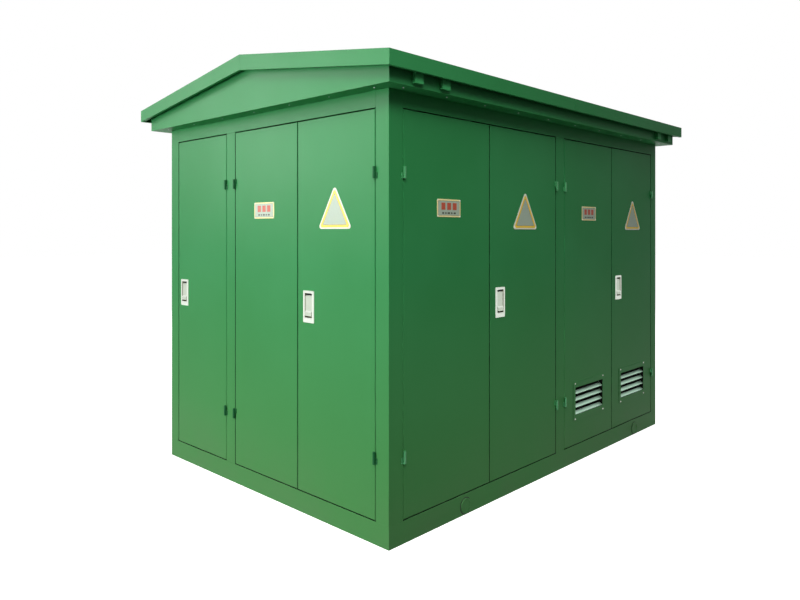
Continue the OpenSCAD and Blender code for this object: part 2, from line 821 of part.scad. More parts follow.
// A plate hung on trunnions, with a sloped grip along its foot and a crank behind its head
module lock_lever(leaf) {
    foot = recess_bottom + finger_gap;
    color("silver") on_lock(leaf) {
        translate([-lever_w / 2, lever_face, foot]) cube([lever_w, lever_t, pivot_z - foot]);
        translate([-lever_w / 2 + 2, lever_face, foot]) difference() {
            along_x(lever_w - 4) polygon([[eps, 0], [-grip_out, 0], [-grip_out, grip_h - grip_slope],
                [0, grip_h], [eps, grip_h]]);
            translate([-eps, -grip_out - eps, (grip_h - grip_slope - groove_h) / 2])
                cube([lever_w, 2, groove_h]);
        }
        translate([-lever_w / 2, pivot_y, pivot_z]) rotate([0, 90, 0])
            cylinder(r = knuckle_r, h = lever_w);
        translate([-recess_w / 2 - case_t, pivot_y, pivot_z]) rotate([0, 90, 0])
            cylinder(r = trunnion_r, h = recess_w + 2 * case_t);
        translate([-crank_w / 2, pivot_y, pivot_z]) rotate([lever_lift / 2, 0, 0]) {
            translate([0, 0, -crank_t / 2]) cube([crank_w, crank_len, crank_t]);
            translate([0, crank_len, 0]) rotate([0, 90, 0]) cylinder(r = crank_t / 2, h = crank_w);
        }
    }
}

// The flat bar behind a leaf, with the window that the lever's crank works in
module lock_bar(leaf) {
    window = crank_t + 5;
    color("lightsteelblue") on_lock(leaf) difference() {
        translate([-bar_w / 2, bar_y, bar_bottom]) cube([bar_w, bar_t, bar_top - bar_bottom]);
        translate([-crank_w / 2 - 1, bar_y - eps, pivot_z + crank_rise - window / 2])
            cube([crank_w + 2, bar_t + 2 * eps, window]);
    }
}

// Roof

module gable(half, low, z_eave, z_ridge) {
    polygon([[-half, low], [-half, z_eave], [0, z_ridge], [half, z_eave], [half, low]]);
}

tray_eave = under_cap(tray_w);
tray_ridge = tray_eave + tray_w * pitch;

module roof_tray() {
    color("seagreen") difference() {
        translate([-tray_l, 0, 0]) along_x(2 * tray_l) gable(tray_w, wall_top, tray_eave, tray_ridge);
        translate([-tray_l + sheet, 0, 0]) along_x(2 * (tray_l - sheet))
            gable(tray_w - sheet, wall_top + sheet, tray_ridge + 1, tray_ridge + 2);
        for (x = beam_xs)
            translate([x - beam / 2 - 1, -tray_w - eps, beam_z])
                cube([beam + 2, 2 * tray_w + 2 * eps, beam + 1]);
    }
}

ridge_beam = 50;
purlin_y = half_w * 0.55;
purlin = 40;
beam_t = 4;
beam_short = 30;
post_w = 40;
stay_w = 30;

// A closed square tube across the housing, its ends out through the tray
module crossbeam() {
    out = tray_w + beam_out;
    translate([-beam / 2, -out, beam_z]) difference() {
        cube([beam, 2 * out, beam]);
        translate([beam_t, beam_t, beam_t])
            cube([beam - 2 * beam_t, 2 * (out - beam_t), beam - 2 * beam_t]);
    }
}

// Crossbeams, with a ridge beam and two purlins on short posts over them
module roof_beams() {
    l = 2 * (tray_l - beam_short);
    ridge_low = under_cap(ridge_beam / 2) - ridge_beam;
    side_low = under_cap(purlin_y + purlin / 2) - purlin;
    foot = beam_z + beam;
    color("mediumseagreen") {
        for (x = beam_xs) translate([x, 0, 0]) crossbeam();
        translate([-l / 2, -ridge_beam / 2, ridge_low]) cube([l, ridge_beam, ridge_beam]);
        for (y = [-purlin_y, purlin_y])
            translate([-l / 2, y - purlin / 2, side_low]) cube([l, purlin, purlin]);
        for (x = beam_xs) {
            translate([x - post_w / 2, -post_w / 2, foot]) cube([post_w, post_w, ridge_low - foot]);
            for (y = [-purlin_y, purlin_y])
                translate([x - stay_w / 2, y - stay_w / 2, foot]) cube([stay_w, stay_w, side_low - foot]);
        }
    }
}

lip_in = 18;

module gable_band(low_eave, low_ridge, depth_eave, depth_ridge) {
    polygon([[-cap_w, low_eave], [-cap_w, low_eave + depth_eave], [0, low_ridge + depth_ridge],
        [cap_w, low_eave + depth_eave], [cap_w, low_eave], [0, low_ridge]]);
}

// Two roof slopes with a fascia and a turned-in lip all round
module roof_cap() {
    fascia_low = eave_z - fascia_eave;
    ridge_low = ridge_z - fascia_ridge;
    color("seagreen") {
        difference() {
            translate([-cap_l, 0, 0]) along_x(2 * cap_l) gable(cap_w, fascia_low, eave_z, ridge_z);
            translate([-cap_l - eps, 0, 0]) along_x(2 * cap_l + 2 * eps)
                gable(cap_w - sheet, fascia_low - eps, eave_z - sheet + sheet * pitch, ridge_z - sheet);
        }
        for (s = [-1, 1]) translate([s * cap_l - (s > 0 ? sheet : 0), 0, 0])
            along_x(sheet) gable_band(fascia_low, ridge_low, fascia_eave - 1, fascia_ridge - 1);
        for (s = [-1, 1]) translate([s * cap_l - (s > 0 ? lip_in : 0), 0, 0])
            along_x(lip_in) gable_band(fascia_low, ridge_low, sheet, sheet);
        for (s = [-1, 1]) translate([-cap_l, s * cap_w - (s > 0 ? lip_in : 0), fascia_low])
            cube([2 * cap_l, lip_in, sheet]);
    }
}

// High-voltage switchgear

plinth_h = 90;
plinth_in = 15;
toe_in = 25;
duct_in = 40;
duct_front = 60;
duct_back = 120;
duct_h = 120;
shell = 4;

// A closed sheet-metal box
module closed_box(w, d, h) {
    difference() {
        cube([w, d, h]);
        translate([shell, shell, shell]) cube([w - 2 * shell, d - 2 * shell, h - 2 * shell]);
    }
}

module switchgear_cabinet() {
    color("gainsboro") translate([gear_x, gear_y, floor_z]) {
        translate([plinth_in, toe_in, 0])
            closed_box(gear_w - 2 * plinth_in, gear_d - plinth_in - toe_in, plinth_h + shell);
        translate([0, 0, plinth_h]) closed_box(gear_w, gear_d, gear_h - plinth_h);
        translate([duct_in, duct_front, gear_h - eps])
            closed_box(gear_w - 2 * duct_in, gear_d - duct_front - duct_back, duct_h);
    }
}

bay_n = 3;
bay_w = gear_w / bay_n;
front_gap = 6;
front_t = 18;
drive_t = 26;
front_low = 10;
cable_cover_h = 640;
drive_low = 660;
drive_h = 420;
head_low = 1090;
slit_n = 4;
slit_in = 60;
slit_pitch = 22;
slit_h = 8;
dial_r = 38;
dial_up = 300;
socket_r = 13;
socket_up = 110;
handle_l = 70;
handle_w = 14;

// The front of one switchgear bay: cable cover, drive panel, position window and drive sockets
module bay_front() {
    w = bay_w - 2 * front_gap;
    translate([front_gap, -front_t, plinth_h + front_low]) difference() {
        cube([w, front_t, cable_cover_h]);
        for (i = [0 : slit_n - 1]) translate([slit_in, -eps, slit_in + front_low + slit_pitch * i])
            cube([w - 2 * slit_in, 6, slit_h]);
    }
    translate([front_gap, -drive_t, plinth_h + drive_low]) difference() {
        cube([w, drive_t, drive_h]);
        translate([w / 2, -eps, dial_up]) rotate([-90, 0, 0]) cylinder(r = dial_r, h = 8);
        for (x = [0.3, 0.7]) translate([w * x, -eps, socket_up])
            rotate([-90, 0, 0]) cylinder(r = socket_r, h = 12);
    }
    translate([front_gap, -front_t, plinth_h + head_low])
        cube([w, front_t, gear_h - plinth_h - head_low - front_low]);
    translate([bay_w - front_gap - front_t - handle_w, -front_t - 12, plinth_h + dial_up])
        cube([handle_w, 12 + eps, handle_l]);
}

module switchgear_fronts() {
    color("whitesmoke") translate([gear_x, gear_y, floor_z])
        for (i = [0 : bay_n - 1]) translate([i * bay_w, 0, 0]) bay_front();
}

// Transformer

skid_h = 100;
tank_z = floor_z + skid_h;
tank_wall = 8;
fin_t = 10;
fin_pitch = 52;
cover_over = 25;
rim_t = 12;
cover_t = 14;
fin_end = 20;
fin_low = 60;
fin_short = 130;
skid_in = 130;
skid_l = 600;
skid_w = 60;
skid_t = 8;
cover_z = tank_z + tank_h;
tank_mid_y = tank_y + tank_w / 2;

module fin_row(length, depth) {
    n = floor((length - 2 * fin_end) / fin_pitch);
    for (i = [0 : n])
        translate([length / 2 + (i - n / 2) * fin_pitch - fin_t / 2, -depth, fin_low])
            cube([fin_t, depth + eps, tank_h - fin_short]);
}

coil_r = 105;
coil_pitch = 2 * coil_r + 15;
yoke = 110;
limb_h = 430;

// Three coils between two yokes, standing on the bottom of the tank
module core_and_coils() {
    length = 2 * coil_pitch + yoke;
    for (z = [0, yoke + limb_h]) translate([-length / 2, -yoke / 2, z]) cube([length, yoke, yoke]);
    for (i = [-1 : 1]) translate([i * coil_pitch, 0, yoke - eps])
        cylinder(r = coil_r, h = limb_h + 2 * eps);
}

module transformer_tank() {
    color("slategray") {
        tank_shell();
        translate([tank_x + tank_l / 2, tank_mid_y, tank_z + tank_wall + clear]) core_and_coils();
        for (x = [tank_x + skid_in, tank_x + tank_l - skid_in - skid_w])
            translate([x, tank_mid_y - skid_l / 2, floor_z]) skid();
    }
}

module skid() {
    along_y(skid_l) difference() {
        square([skid_w, skid_h]);
        translate([skid_t, skid_t]) square([skid_w, skid_h - 2 * skid_t]);
    }
}

module tank_shell() {
    translate([tank_x, tank_y, tank_z]) {
        difference() {
            cube([tank_l, tank_w, tank_h]);
            translate([tank_wall, tank_wall, tank_wall])
                cube([tank_l - 2 * tank_wall, tank_w - 2 * tank_wall, tank_h]);
        }
        difference() {
            translate([-cover_over, -cover_over, tank_h - rim_t])
                cube([tank_l + 2 * cover_over, tank_w + 2 * cover_over, rim_t]);
            translate([tank_wall, tank_wall, tank_h - 2 * rim_t])
                cube([tank_l - 2 * tank_wall, tank_w - 2 * tank_wall, 3 * rim_t]);
        }
        fin_row(tank_l, fin_d);
        translate([tank_l, tank_w, 0]) rotate([0, 0, 180]) fin_row(tank_l, fin_d);
        translate([0, tank_w, 0]) rotate([0, 0, -90]) fin_row(tank_w, fin_d);
        translate([tank_l, 0, 0]) rotate([0, 0, 90]) fin_row(tank_w, fin_d);
    }
}

cover_bolts = 8;
cover_bolt_r = 9;
cover_bolt_h = 10;
cover_bolt_in = 12;
filler_r = 35;
filler_h = 90;
lug_t = 18;
lug_w = 80;
lug_h = 70;
lug_in = 40;
lug_eye = 16;

module transformer_cover() {
    l = tank_l + 2 * cover_over;
    w = tank_w + 2 * cover_over;
    color("slategray") translate([tank_x - cover_over, tank_y - cover_over, cover_z]) {
        cube([l, w, cover_t]);
        for (i = [0 : cover_bolts], y = [cover_bolt_in, w - cover_bolt_in])
            translate([cover_bolt_in + i * (l - 2 * cover_bolt_in) / cover_bolts, y, cover_t - eps])
                cylinder(r = cover_bolt_r, h = cover_bolt_h, $fn = 6);
        translate([tank_l * 0.86, tank_w / 2, cover_t - eps]) cylinder(r = filler_r, h = filler_h);
        for (x = [lug_in, l - lug_in - lug_t]) translate([x, (w - lug_w) / 2, cover_t - eps])
            difference() {
                cube([lug_t, lug_w, lug_h]);
                translate([-eps, lug_w / 2, lug_h * 0.6]) rotate([0, 90, 0])
                    cylinder(r = lug_eye, h = lug_t + 2 * eps);
            }
    }
}

shed_n = 5;
flange_h = 14;
stud_h = 60;
stud_share = 0.42;
shed_h = 12;

// A ribbed insulator on its flange with a terminal stud on top
module bushing(height, body_r, shed_r) {
    stem = height - stud_h;
    cylinder(r = shed_r * 0.9, h = flange_h);
    cylinder(r = body_r, h = stem);
    for (i = [0 : shed_n - 1])
        translate([0, 0, flange_h + 4 + i * (stem - flange_h - 20) / (shed_n - 1)])
            rotate_extrude() polygon([[0, 0], [shed_r, 2], [shed_r, 5], [body_r, shed_h], [0, shed_h]]);
    translate([0, 0, stem - eps]) cylinder(r = body_r * stud_share, h = stud_h + eps);
}

hv_pitch = 115;
hv_in = 110;
hv_x = tank_x + hv_in;
hv_height = 196;
hv_body_r = 26;
hv_shed_r = 44;
cable_r = 15;
elbow_t = 7;
elbow_seat = 50;
elbow_h = 78;
elbow_arm = 70;
gland_t = 9;
gland_l = 40;
cable_z = cover_z + cover_t + hv_height + 10;
lv_height = 150;
lv_body_r = 20;
lv_shed_r = 34;
lv_pitch = 105;
lv_in = 40;
lv_off = 110;
lv_y = tank_mid_y + lv_off;
busbar_w = 40;
busbar_t = 8;
busbar_lap = 25;
busbar_z = cover_z + cover_t + lv_height;
function busbar_x(i) = tank_x + tank_l / 2 - lv_in + i * lv_pitch;

module transformer_bushings() {
    top = cover_z + cover_t;
    color("saddlebrown") {
        for (i = [-1 : 1]) translate([hv_x, tank_mid_y + i * hv_pitch, top])
            bushing(hv_height, hv_body_r, hv_shed_r);
        for (i = [0 : 3]) translate([busbar_x(i), lv_y, top]) bushing(lv_height, lv_body_r, lv_shed_r);
    }
}

// Three cables straight from the switchgear to the elbows on the transformer, each with its gland
module hv_cables() {
    gear_side = gear_x + gear_w;
    stud_top = cover_z + cover_t + hv_height;
    color("dimgray") for (i = [-1 : 1]) translate([0, tank_mid_y + i * hv_pitch, 0]) {
        translate([gear_side, 0, cable_z]) rotate([0, 90, 0]) {
            cylinder(r = cable_r, h = hv_x - elbow_arm - gear_side + 10);
            cylinder(r = cable_r + gland_t, h = gland_l);
        }
        difference() {
            union() {
                translate([hv_x, 0, stud_top - elbow_seat]) cylinder(r = cable_r + elbow_t, h = elbow_h);
                translate([hv_x - elbow_arm, 0, cable_z]) rotate([0, 90, 0])
                    cylinder(r = cable_r + elbow_t - 1, h = elbow_arm);
            }
            translate([hv_x, 0, stud_top - elbow_seat - eps])
                cylinder(r = hv_body_r * stud_share + clear, h = elbow_seat + eps + clear);
        }
    }
}

// Four flat copper bars from the transformer through the partition to the switchboard
module lv_busbars() {
    back = board_front - board_d;
    color("peru") for (i = [0 : 3])
        translate([busbar_x(i) - busbar_w / 2, lv_y - busbar_lap, busbar_z])
            cube([busbar_w, back - lv_y + busbar_lap, busbar_t]);
}

// Low-voltage switchboard

section_n = 3;
section_w = board_l / section_n;
board_plinth = 80;
board_toe = 20;
panel_gap = 6;
panel_t = 16;
panel_low = 10;
window_t = 6;
window_in = 40;
window_low = 300;
window_h = 1160;
main_breaker = [300, 60, 380];
main_low = 700;
branch_breaker = [140, 45, 260];
branch_low = 480;
branch_row = 460;
branch_in = 95;
branch_pitch = 205;
toggle_w = 16;
toggle_l = 18;
boss_l = 10;

module lv_switchboard() {
    color("gainsboro") translate([board_x, board_front - board_d, floor_z]) {
        translate([board_toe, board_toe, 0])
            closed_box(board_l - 2 * board_toe, board_d - 2 * board_toe, board_plinth + shell);
        translate([0, 0, board_plinth]) closed_box(board_l, board_d, board_h - board_plinth);
        for (i = [0 : section_n - 1])
            translate([i * section_w + panel_gap, board_d - eps, board_plinth + panel_low])
                section_front();
    }
}

// The front frame of one section, its window recess holding the breakers
module section_front() {
    w = section_w - 2 * panel_gap;
    difference() {
        cube([w, panel_t, board_h - board_plinth - 2 * panel_low]);
        translate([window_in, panel_t - window_t, window_low])
            cube([w - 2 * window_in, window_t + 1, window_h]);
    }
}

// A moulded breaker of width, depth and height size, with its toggle
module breaker(size) {
    w = size[0];
    d = size[1];
    h = size[2];
    cube(size);
    translate([w * 0.15, d - eps, h * 0.3]) cube([w * 0.7, boss_l, h * 0.4]);
    translate([(w - toggle_w) / 2, d + boss_l - 1, h * 0.42]) cube([toggle_w, toggle_l, h * 0.16]);
}

module lv_breakers() {
    color("dimgray")
        translate([board_x, board_front + panel_t - window_t, floor_z + board_plinth + panel_low]) {
            translate([(section_w - main_breaker[0]) / 2, 0, main_low]) breaker(main_breaker);
            for (s = [1, 2], r = [0, 1], i = [0 : 2])
                translate([s * section_w + branch_in + i * branch_pitch, 0, branch_low + r * branch_row])
                    breaker(branch_breaker);
        }
}

base_frame();
floor_plates();
wall_posts();
header_rails();
door_seals();
partition_walls();
end_panels();
roof_tray();
roof_beams();
roof_cap();
hinge_frame_halves();
switchgear_cabinet();
switchgear_fronts();
transformer_tank();
transformer_cover();
transformer_bushings();
hv_cables();
lv_busbars();
lv_switchboard();
lv_breakers();
leaf(LEAF_A);  // leaf_a
leaf(LEAF_B);  // leaf_b
leaf(LEAF_C, vent = true);  // leaf_c
leaf(LEAF_D, vent = true);  // leaf_d
leaf(LEAF_1);  // leaf_1
leaf(LEAF_2);  // leaf_2
leaf(LEAF_3);  // leaf_3
leaf(LEAF_E);  // leaf_e
leaf(LEAF_F);  // leaf_f
leaf(LEAF_G);  // leaf_g
leaf(LEAF_H);  // leaf_h
leaf_vent(LEAF_C);  // vent_c
leaf_vent(LEAF_D);  // vent_d
lock_case(LEAF_B);  // lock_case_b
lock_case(LEAF_D);  // lock_case_d
lock_case(LEAF_1);  // lock_case_1
lock_case(LEAF_3);  // lock_case_3
lock_case(LEAF_F);  // lock_case_f
lock_case(LEAF_H);  // lock_case_h
lock_lever(LEAF_B);  // lock_lever_b
lock_lever(LEAF_D);  // lock_lever_d
lock_lever(LEAF_1);  // lock_lever_1
lock_lever(LEAF_3);  // lock_lever_3
lock_lever(LEAF_F);  // lock_lever_f
lock_lever(LEAF_H);  // lock_lever_h
lock_bar(LEAF_B);  // lock_bar_b
lock_bar(LEAF_D);  // lock_bar_d
lock_bar(LEAF_1);  // lock_bar_1
lock_bar(LEAF_3);  // lock_bar_3
lock_bar(LEAF_F);  // lock_bar_f
lock_bar(LEAF_H);  // lock_bar_h
leaf_bolt(LEAF_A);  // leaf_bolt_a
leaf_bolt(LEAF_C);  // leaf_bolt_c
leaf_bolt(LEAF_2);  // leaf_bolt_2
leaf_bolt(LEAF_E);  // leaf_bolt_e
leaf_bolt(LEAF_G);  // leaf_bolt_g
lifting_pin(FRONT, lift_near);  // lifting_pin_front_left
lifting_pin(FRONT, body_l - lift_far);  // lifting_pin_front_right
lifting_pin(BACK, body_l - lift_near);  // lifting_pin_back_left
lifting_pin(BACK, lift_far);  // lifting_pin_back_right
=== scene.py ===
# %% [markdown]
# A compact substation: a green steel housing on a base frame, with hinged doors on three sides, bright
# lift locks, louvre vents and a two-tier gable roof. The CAD model comes first, as a fixed frame, and
# everything made below rides on one of its bodies, so that it moves with its door.

# %% The frame
import bpy
import bmesh
import json
import math
from mathutils import Matrix, Vector

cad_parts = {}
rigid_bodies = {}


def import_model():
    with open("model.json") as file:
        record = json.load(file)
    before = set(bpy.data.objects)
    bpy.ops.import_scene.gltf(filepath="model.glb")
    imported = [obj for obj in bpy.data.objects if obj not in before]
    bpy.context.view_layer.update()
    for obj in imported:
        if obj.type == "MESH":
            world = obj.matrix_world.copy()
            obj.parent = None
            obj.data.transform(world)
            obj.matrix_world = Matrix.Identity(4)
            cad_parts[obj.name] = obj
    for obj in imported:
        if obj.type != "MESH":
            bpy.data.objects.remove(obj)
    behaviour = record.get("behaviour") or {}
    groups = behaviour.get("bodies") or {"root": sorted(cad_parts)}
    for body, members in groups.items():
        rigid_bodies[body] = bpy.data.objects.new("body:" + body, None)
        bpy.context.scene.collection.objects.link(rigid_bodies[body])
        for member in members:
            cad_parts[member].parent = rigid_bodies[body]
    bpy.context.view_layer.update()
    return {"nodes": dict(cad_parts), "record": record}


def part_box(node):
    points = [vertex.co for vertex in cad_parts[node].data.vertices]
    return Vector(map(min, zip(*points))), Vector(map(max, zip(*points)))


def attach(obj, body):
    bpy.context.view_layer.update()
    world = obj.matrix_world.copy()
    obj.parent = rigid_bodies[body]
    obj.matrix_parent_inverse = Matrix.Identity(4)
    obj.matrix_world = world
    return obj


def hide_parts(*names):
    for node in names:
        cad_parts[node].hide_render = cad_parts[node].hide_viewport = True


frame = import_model()
nodes = frame["nodes"]
mm = 0.001

# %% [markdown]
# The camera stands off the near corner, a little above the locks. It is level, and its lens is shifted,
# so that upright edges stay upright.

# %% Camera
scene = bpy.context.scene


def shown(name, data):
    """An object in the scene, at its origin."""
    made = bpy.data.objects.new(name, data)
    scene.collection.objects.link(made)
    return made


eye = Vector((-3.847, -3.339, 1.515))
heading = math.radians(-46.451)
camera_data = bpy.data.cameras.new("camera")
camera_data.lens = 31.178
camera_data.sensor_width = 36
camera_data.shift_y = -0.0852
camera = shown("camera", camera_data)
camera.location = eye
camera.rotation_euler = (math.radians(90), 0, heading)
scene.camera = camera
scene.view_settings.view_transform = "Standard"
print("Camera at", tuple(eye))

# %% [markdown]
# A small class wraps a socket, so that sums and products of sockets are written as Python sums, and one
# method adds every other kind of node. It serves materials, the world and Geometry Nodes.

# %% Node helpers
class Socket:
    """An output in a node tree. Arithmetic on it adds Math nodes."""

    def __init__(self, tree, link):
        self.tree, self.link = tree, link

    def __add__(self, other):
        return self.tree.math("ADD", self, other)

    __radd__ = __add__

    def __rsub__(self, other):
        return self.tree.math("SUBTRACT", other, self)

    def __mul__(self, other):
        return self.tree.math("MULTIPLY", self, other)

    __rmul__ = __mul__


class Made:
    """A node that was added. Square brackets give its outputs."""

    def __init__(self, tree, node):
        self.tree, self.node = tree, node

    def __getitem__(self, key):
        return Socket(self.tree, self.node.outputs[key])


class Tree:
    """A node tree with short ways to add to it."""

    def __init__(self, tree):
        self.tree = tree
        tree.nodes.clear()

    def node(self, kind, sockets=None, **settings):
        """Adds a node. Settings are set first, as they can change which sockets there are."""
        made = self.tree.nodes.new(kind)
        for key, value in settings.items():
            setattr(made, key, value)
        for key, value in (sockets or {}).items():
            if isinstance(value, Socket):
                self.tree.links.new(value.link, made.inputs[key])
            else:
                made.inputs[key].default_value = value
        return Made(self, made)

    def math(self, operation, first, second=0.0, clamp=False):
        return self.node("ShaderNodeMath", {0: first, 1: second}, operation=operation,
                         use_clamp=clamp)["Value"]

    def mix(self, factor, first, second):
        """Mixes colours, which are inputs 6 and 7 and output 2 of a Mix node."""
        return self.node("ShaderNodeMix", {0: factor, 6: first, 7: second}, data_type="RGBA")[2]

    def noise(self, where, scale, detail=2.0, roughness=0.5):
        return self.node("ShaderNodeTexNoise", {"Vector": where, "Scale": scale, "Detail": detail,
                                                "Roughness": roughness})["Fac"]

    def band(self, value, low, high):
        """0 below low, 1 above high, a straight ramp between."""
        return self.node("ShaderNodeMapRange", {"Value": value, "From Min": low, "From Max": high},
                         clamp=True)["Result"]


def tree_of(block):
    """The cleared node tree of a world or a material."""
    block.use_nodes = True
    return Tree(block.node_tree)


def rgb(red, green, blue):
    return (red, green, blue, 1.0)


print("Node helpers ready")

# %% [markdown]
# The surroundings are a plain studio. World and floor are white where the camera, metal or glass see them.
# As a light the world is weak, so that the lamps shape the housing, and the floor throws back little, as
# ground outdoors does.

# %% World
def white_rays(tree):
    """1 for the rays of the camera, of metal and of glass, 0 for light that falls on things."""
    rays = tree.node("ShaderNodeLightPath")
    eye_or_metal = tree.math("ADD", rays["Is Camera Ray"], rays["Is Glossy Ray"])
    return tree.math("ADD", eye_or_metal, rays["Is Transmission Ray"], clamp=True)


ambient = 0.15
world = bpy.data.worlds.new("studio")
scene.world = world
sky = tree_of(world)
sky_light = sky.node("ShaderNodeBackground", {
    "Color": rgb(1, 1, 1), "Strength": ambient + white_rays(sky) * (1 - ambient)})
sky.node("ShaderNodeOutputWorld", {"Surface": sky_light["Background"]})
print("The world lights with", ambient)

# %% [markdown]
# Soft panels light the housing. A low and a high one stand before the left wall. A weak one high before
# the long wall throws the eave's shadow on the doors' heads, and one with a grid brightens the wall's
# near part. One lights the back. The two sheen lamps only show as a haze on paint.

# %% Lamps
def panel(name, place, target, width, height, radiance, spread=180.0):
    """A soft oblong lamp. A grid narrows its spread, and its power follows from its radiance."""
    lamp = bpy.data.lights.new(name, "AREA")
    lamp.shape = "RECTANGLE"
    lamp.size, lamp.size_y = width, height
    half = math.radians(spread) / 2
    lamp.spread = 2 * half
    lamp.energy = radiance * math.pi * width * height * (1 - half / math.tan(half))
    made = shown(name, lamp)
    made.location = place
    made.rotation_euler = (Vector(target) - made.location).to_track_quat("-Z", "Y").to_euler()
    made.visible_camera = False
    return made


left_low = panel("left_low", (-7.0, 1.0, 1.0), (-1.5, 0.0, 0.8), 4.0, 1.6, 11.2)
left_high = panel("left_high", (-5.6, -0.3, 5.6), (-1.5, -0.4, 1.8), 3.0, 2.0, 3.2, 90.0)
sheens = [panel("left_sheen", (-6.1, 3.1, 3.4), (-1.5, -0.3, 1.5), 6.0, 3.2, 23.0),
          panel("low_sheen", (-6.6, 3.4, 2.2), (-1.5, -0.3, 1.0), 6.0, 3.2, 5.1)]
panel("front_high", (-1.0, -3.0, 7.0), (-0.6, -1.0, 1.0), 2.4, 2.0, 3.4)
front_grid = panel("front_grid", (-4.2, -4.0, 5.0), (-1.3, -1.0, 1.5), 2.4, 2.0, 19.6, 60.0)
back_soft = panel("back_soft", (4.5, 6.5, 3.6), (0.3, 0.6, 1.1), 5.0, 3.0, 11.0)
for made in (left_low, left_high, front_grid, back_soft):
    made.visible_glossy = False
for made in sheens:
    made.visible_diffuse = False

# %% Floor
floor_half = 40.0
floor_glow = 0.9
floor_drop = 0.5 * mm
floor_mesh = bpy.data.meshes.new("floor")
floor_mesh.from_pydata([(-floor_half, -floor_half, 0), (floor_half, -floor_half, 0),
                        (floor_half, floor_half, 0), (-floor_half, floor_half, 0)], [], [(0, 1, 2, 3)])
floor = shown("floor", floor_mesh)
floor.location.z = -floor_drop
floor_material = bpy.data.materials.new("floor_pale")
ground = tree_of(floor_material)
white_to_eye = white_rays(ground)
dull = ground.node("ShaderNodeBsdfDiffuse", {
    "Color": ground.mix(white_to_eye, rgb(0.16, 0.17, 0.16), rgb(0.92, 0.92, 0.92))})
glow = ground.node("ShaderNodeEmission", {
    "Color": rgb(1, 1, 1), "Strength": white_to_eye * floor_glow})
both = ground.node("ShaderNodeAddShader", {0: dull["BSDF"], 1: glow["Emission"]})
ground.node("ShaderNodeOutputMaterial", {"Surface": both["Shader"]})
floor_mesh.materials.append(floor_material)
print("Floor", 2 * floor_half, "m wide")

# %% [markdown]
# Each finish is one material round the Principled shader. What changes over the surface goes to its
# colour, roughness and normal, and what is the same all over is set on its own socket. The small
# functions below give the patterns that the finishes share.

# %% Finish helpers
finishes = {}


def finish(name, colour, roughness, bump=None, metallic=0.0, specular=0.5, coat=0.0):
    """Makes a material and files it. colour, roughness and bump are functions of (tree, place)."""
    material = bpy.data.materials.new(name)
    tree = tree_of(material)
    where = tree.node("ShaderNodeTexCoord")["Object"]
    sockets = {"Base Color": colour(tree, where), "Roughness": roughness(tree, where),
               "Metallic": metallic, "Specular IOR Level": specular, "Coat Weight": coat}
    if bump:
        height, strength, depth = bump(tree, where)
        sockets["Normal"] = tree.node("ShaderNodeBump", {
            "Height": height, "Strength": strength, "Distance": depth})["Normal"]
    shader = tree.node("ShaderNodeBsdfPrincipled", sockets)
    tree.node("ShaderNodeOutputMaterial", {"Surface": shader["BSDF"]})
    finishes[name] = material


def plain(value):
    """The same value everywhere."""
    return lambda tree, where: value


def clouded(scale, detail, low, high):
    """A colour that wanders between two shades in soft clouds."""
    return lambda tree, where: tree.mix(tree.noise(where, scale, detail), rgb(*low), rgb(*high))


def worn(clean, scale, detail, amount):
    """A roughness with duller patches."""
    return lambda tree, where: clean + tree.noise(where, scale, detail) * amount


def grained(scale, detail, strength, depth):
    """A grain in the surface, for the bump."""
    return lambda tree, where: (tree.noise(where, scale, detail), strength, depth)


def enamel(low, high):
    """Baked colour with faint clouds."""
    return clouded(55.0, 4.0, low, high)


print("Finish helpers ready")

# %% [markdown]
# The housing is sprayed in one green. Outdoors, paint is never one flat colour: clouds of shade come from
# the spray gun and dust gathers at the foot. A yellow tint over the lower half is a painted reflection.
# All three run on from sheet to sheet.

# %% Sprayed paint
dust_colour = (0.16, 0.17, 0.12)
dust_top = 0.45
low_reflection_full, low_reflection_end = 0.1, 1.35


def paint(name, colour, light, grain=420.0, peel=0.12, gloss=0.36, specular=0.03, dust=0.3, low_reflection=None):
    """Sprayed paint: clouds of shade, orange peel, dust near the ground and a faint yellow tint low down as a
    painted reflection.
    """
    def shade(tree, where):
        clouds = tree.noise(where, 1.1, 3.0, 0.55)
        height = tree.node("ShaderNodeSeparateXYZ", {"Vector": where})["Z"]
        near_ground = 1 - tree.band(height, 0.0, dust_top)
        dirt = tree.band(tree.noise(where, 2.2, 6.0, 0.6), 0.3, 0.8) * near_ground * dust
        painted = tree.mix(tree.band(clouds, 0.35, 0.7), rgb(*colour), rgb(*light))
        # The yellow tint over the lower half is a painted reflection.
        if low_reflection:
            painted = tree.mix(1 - tree.band(height, low_reflection_full, low_reflection_end), painted, rgb(*low_reflection))
        return tree.mix(dirt, painted, rgb(*dust_colour))

    finish(name, shade, worn(gloss, 3.0, 4.0, 0.1), grained(grain, 2.0, peel, 0.4 * mm), specular=specular)


# The yellow tint low down is a painted reflection.
print("Dust up to", dust_top, "m, road film up to", low_reflection_end, "m")

# %% Green paints
green = (0.029, 0.232, 0.066)
green_light = (0.039, 0.260, 0.083)
olive = (0.074, 0.272, 0.080)
paint("frame_green", green, green_light, low_reflection=olive)
paint("door_green", green, green_light, gloss=0.34, low_reflection=olive)
paint("roof_green", green, green_light, gloss=0.8, specular=0.0)
paint("vent_green", (0.031, 0.240, 0.070), (0.041, 0.268, 0.087), gloss=0.32, low_reflection=olive)
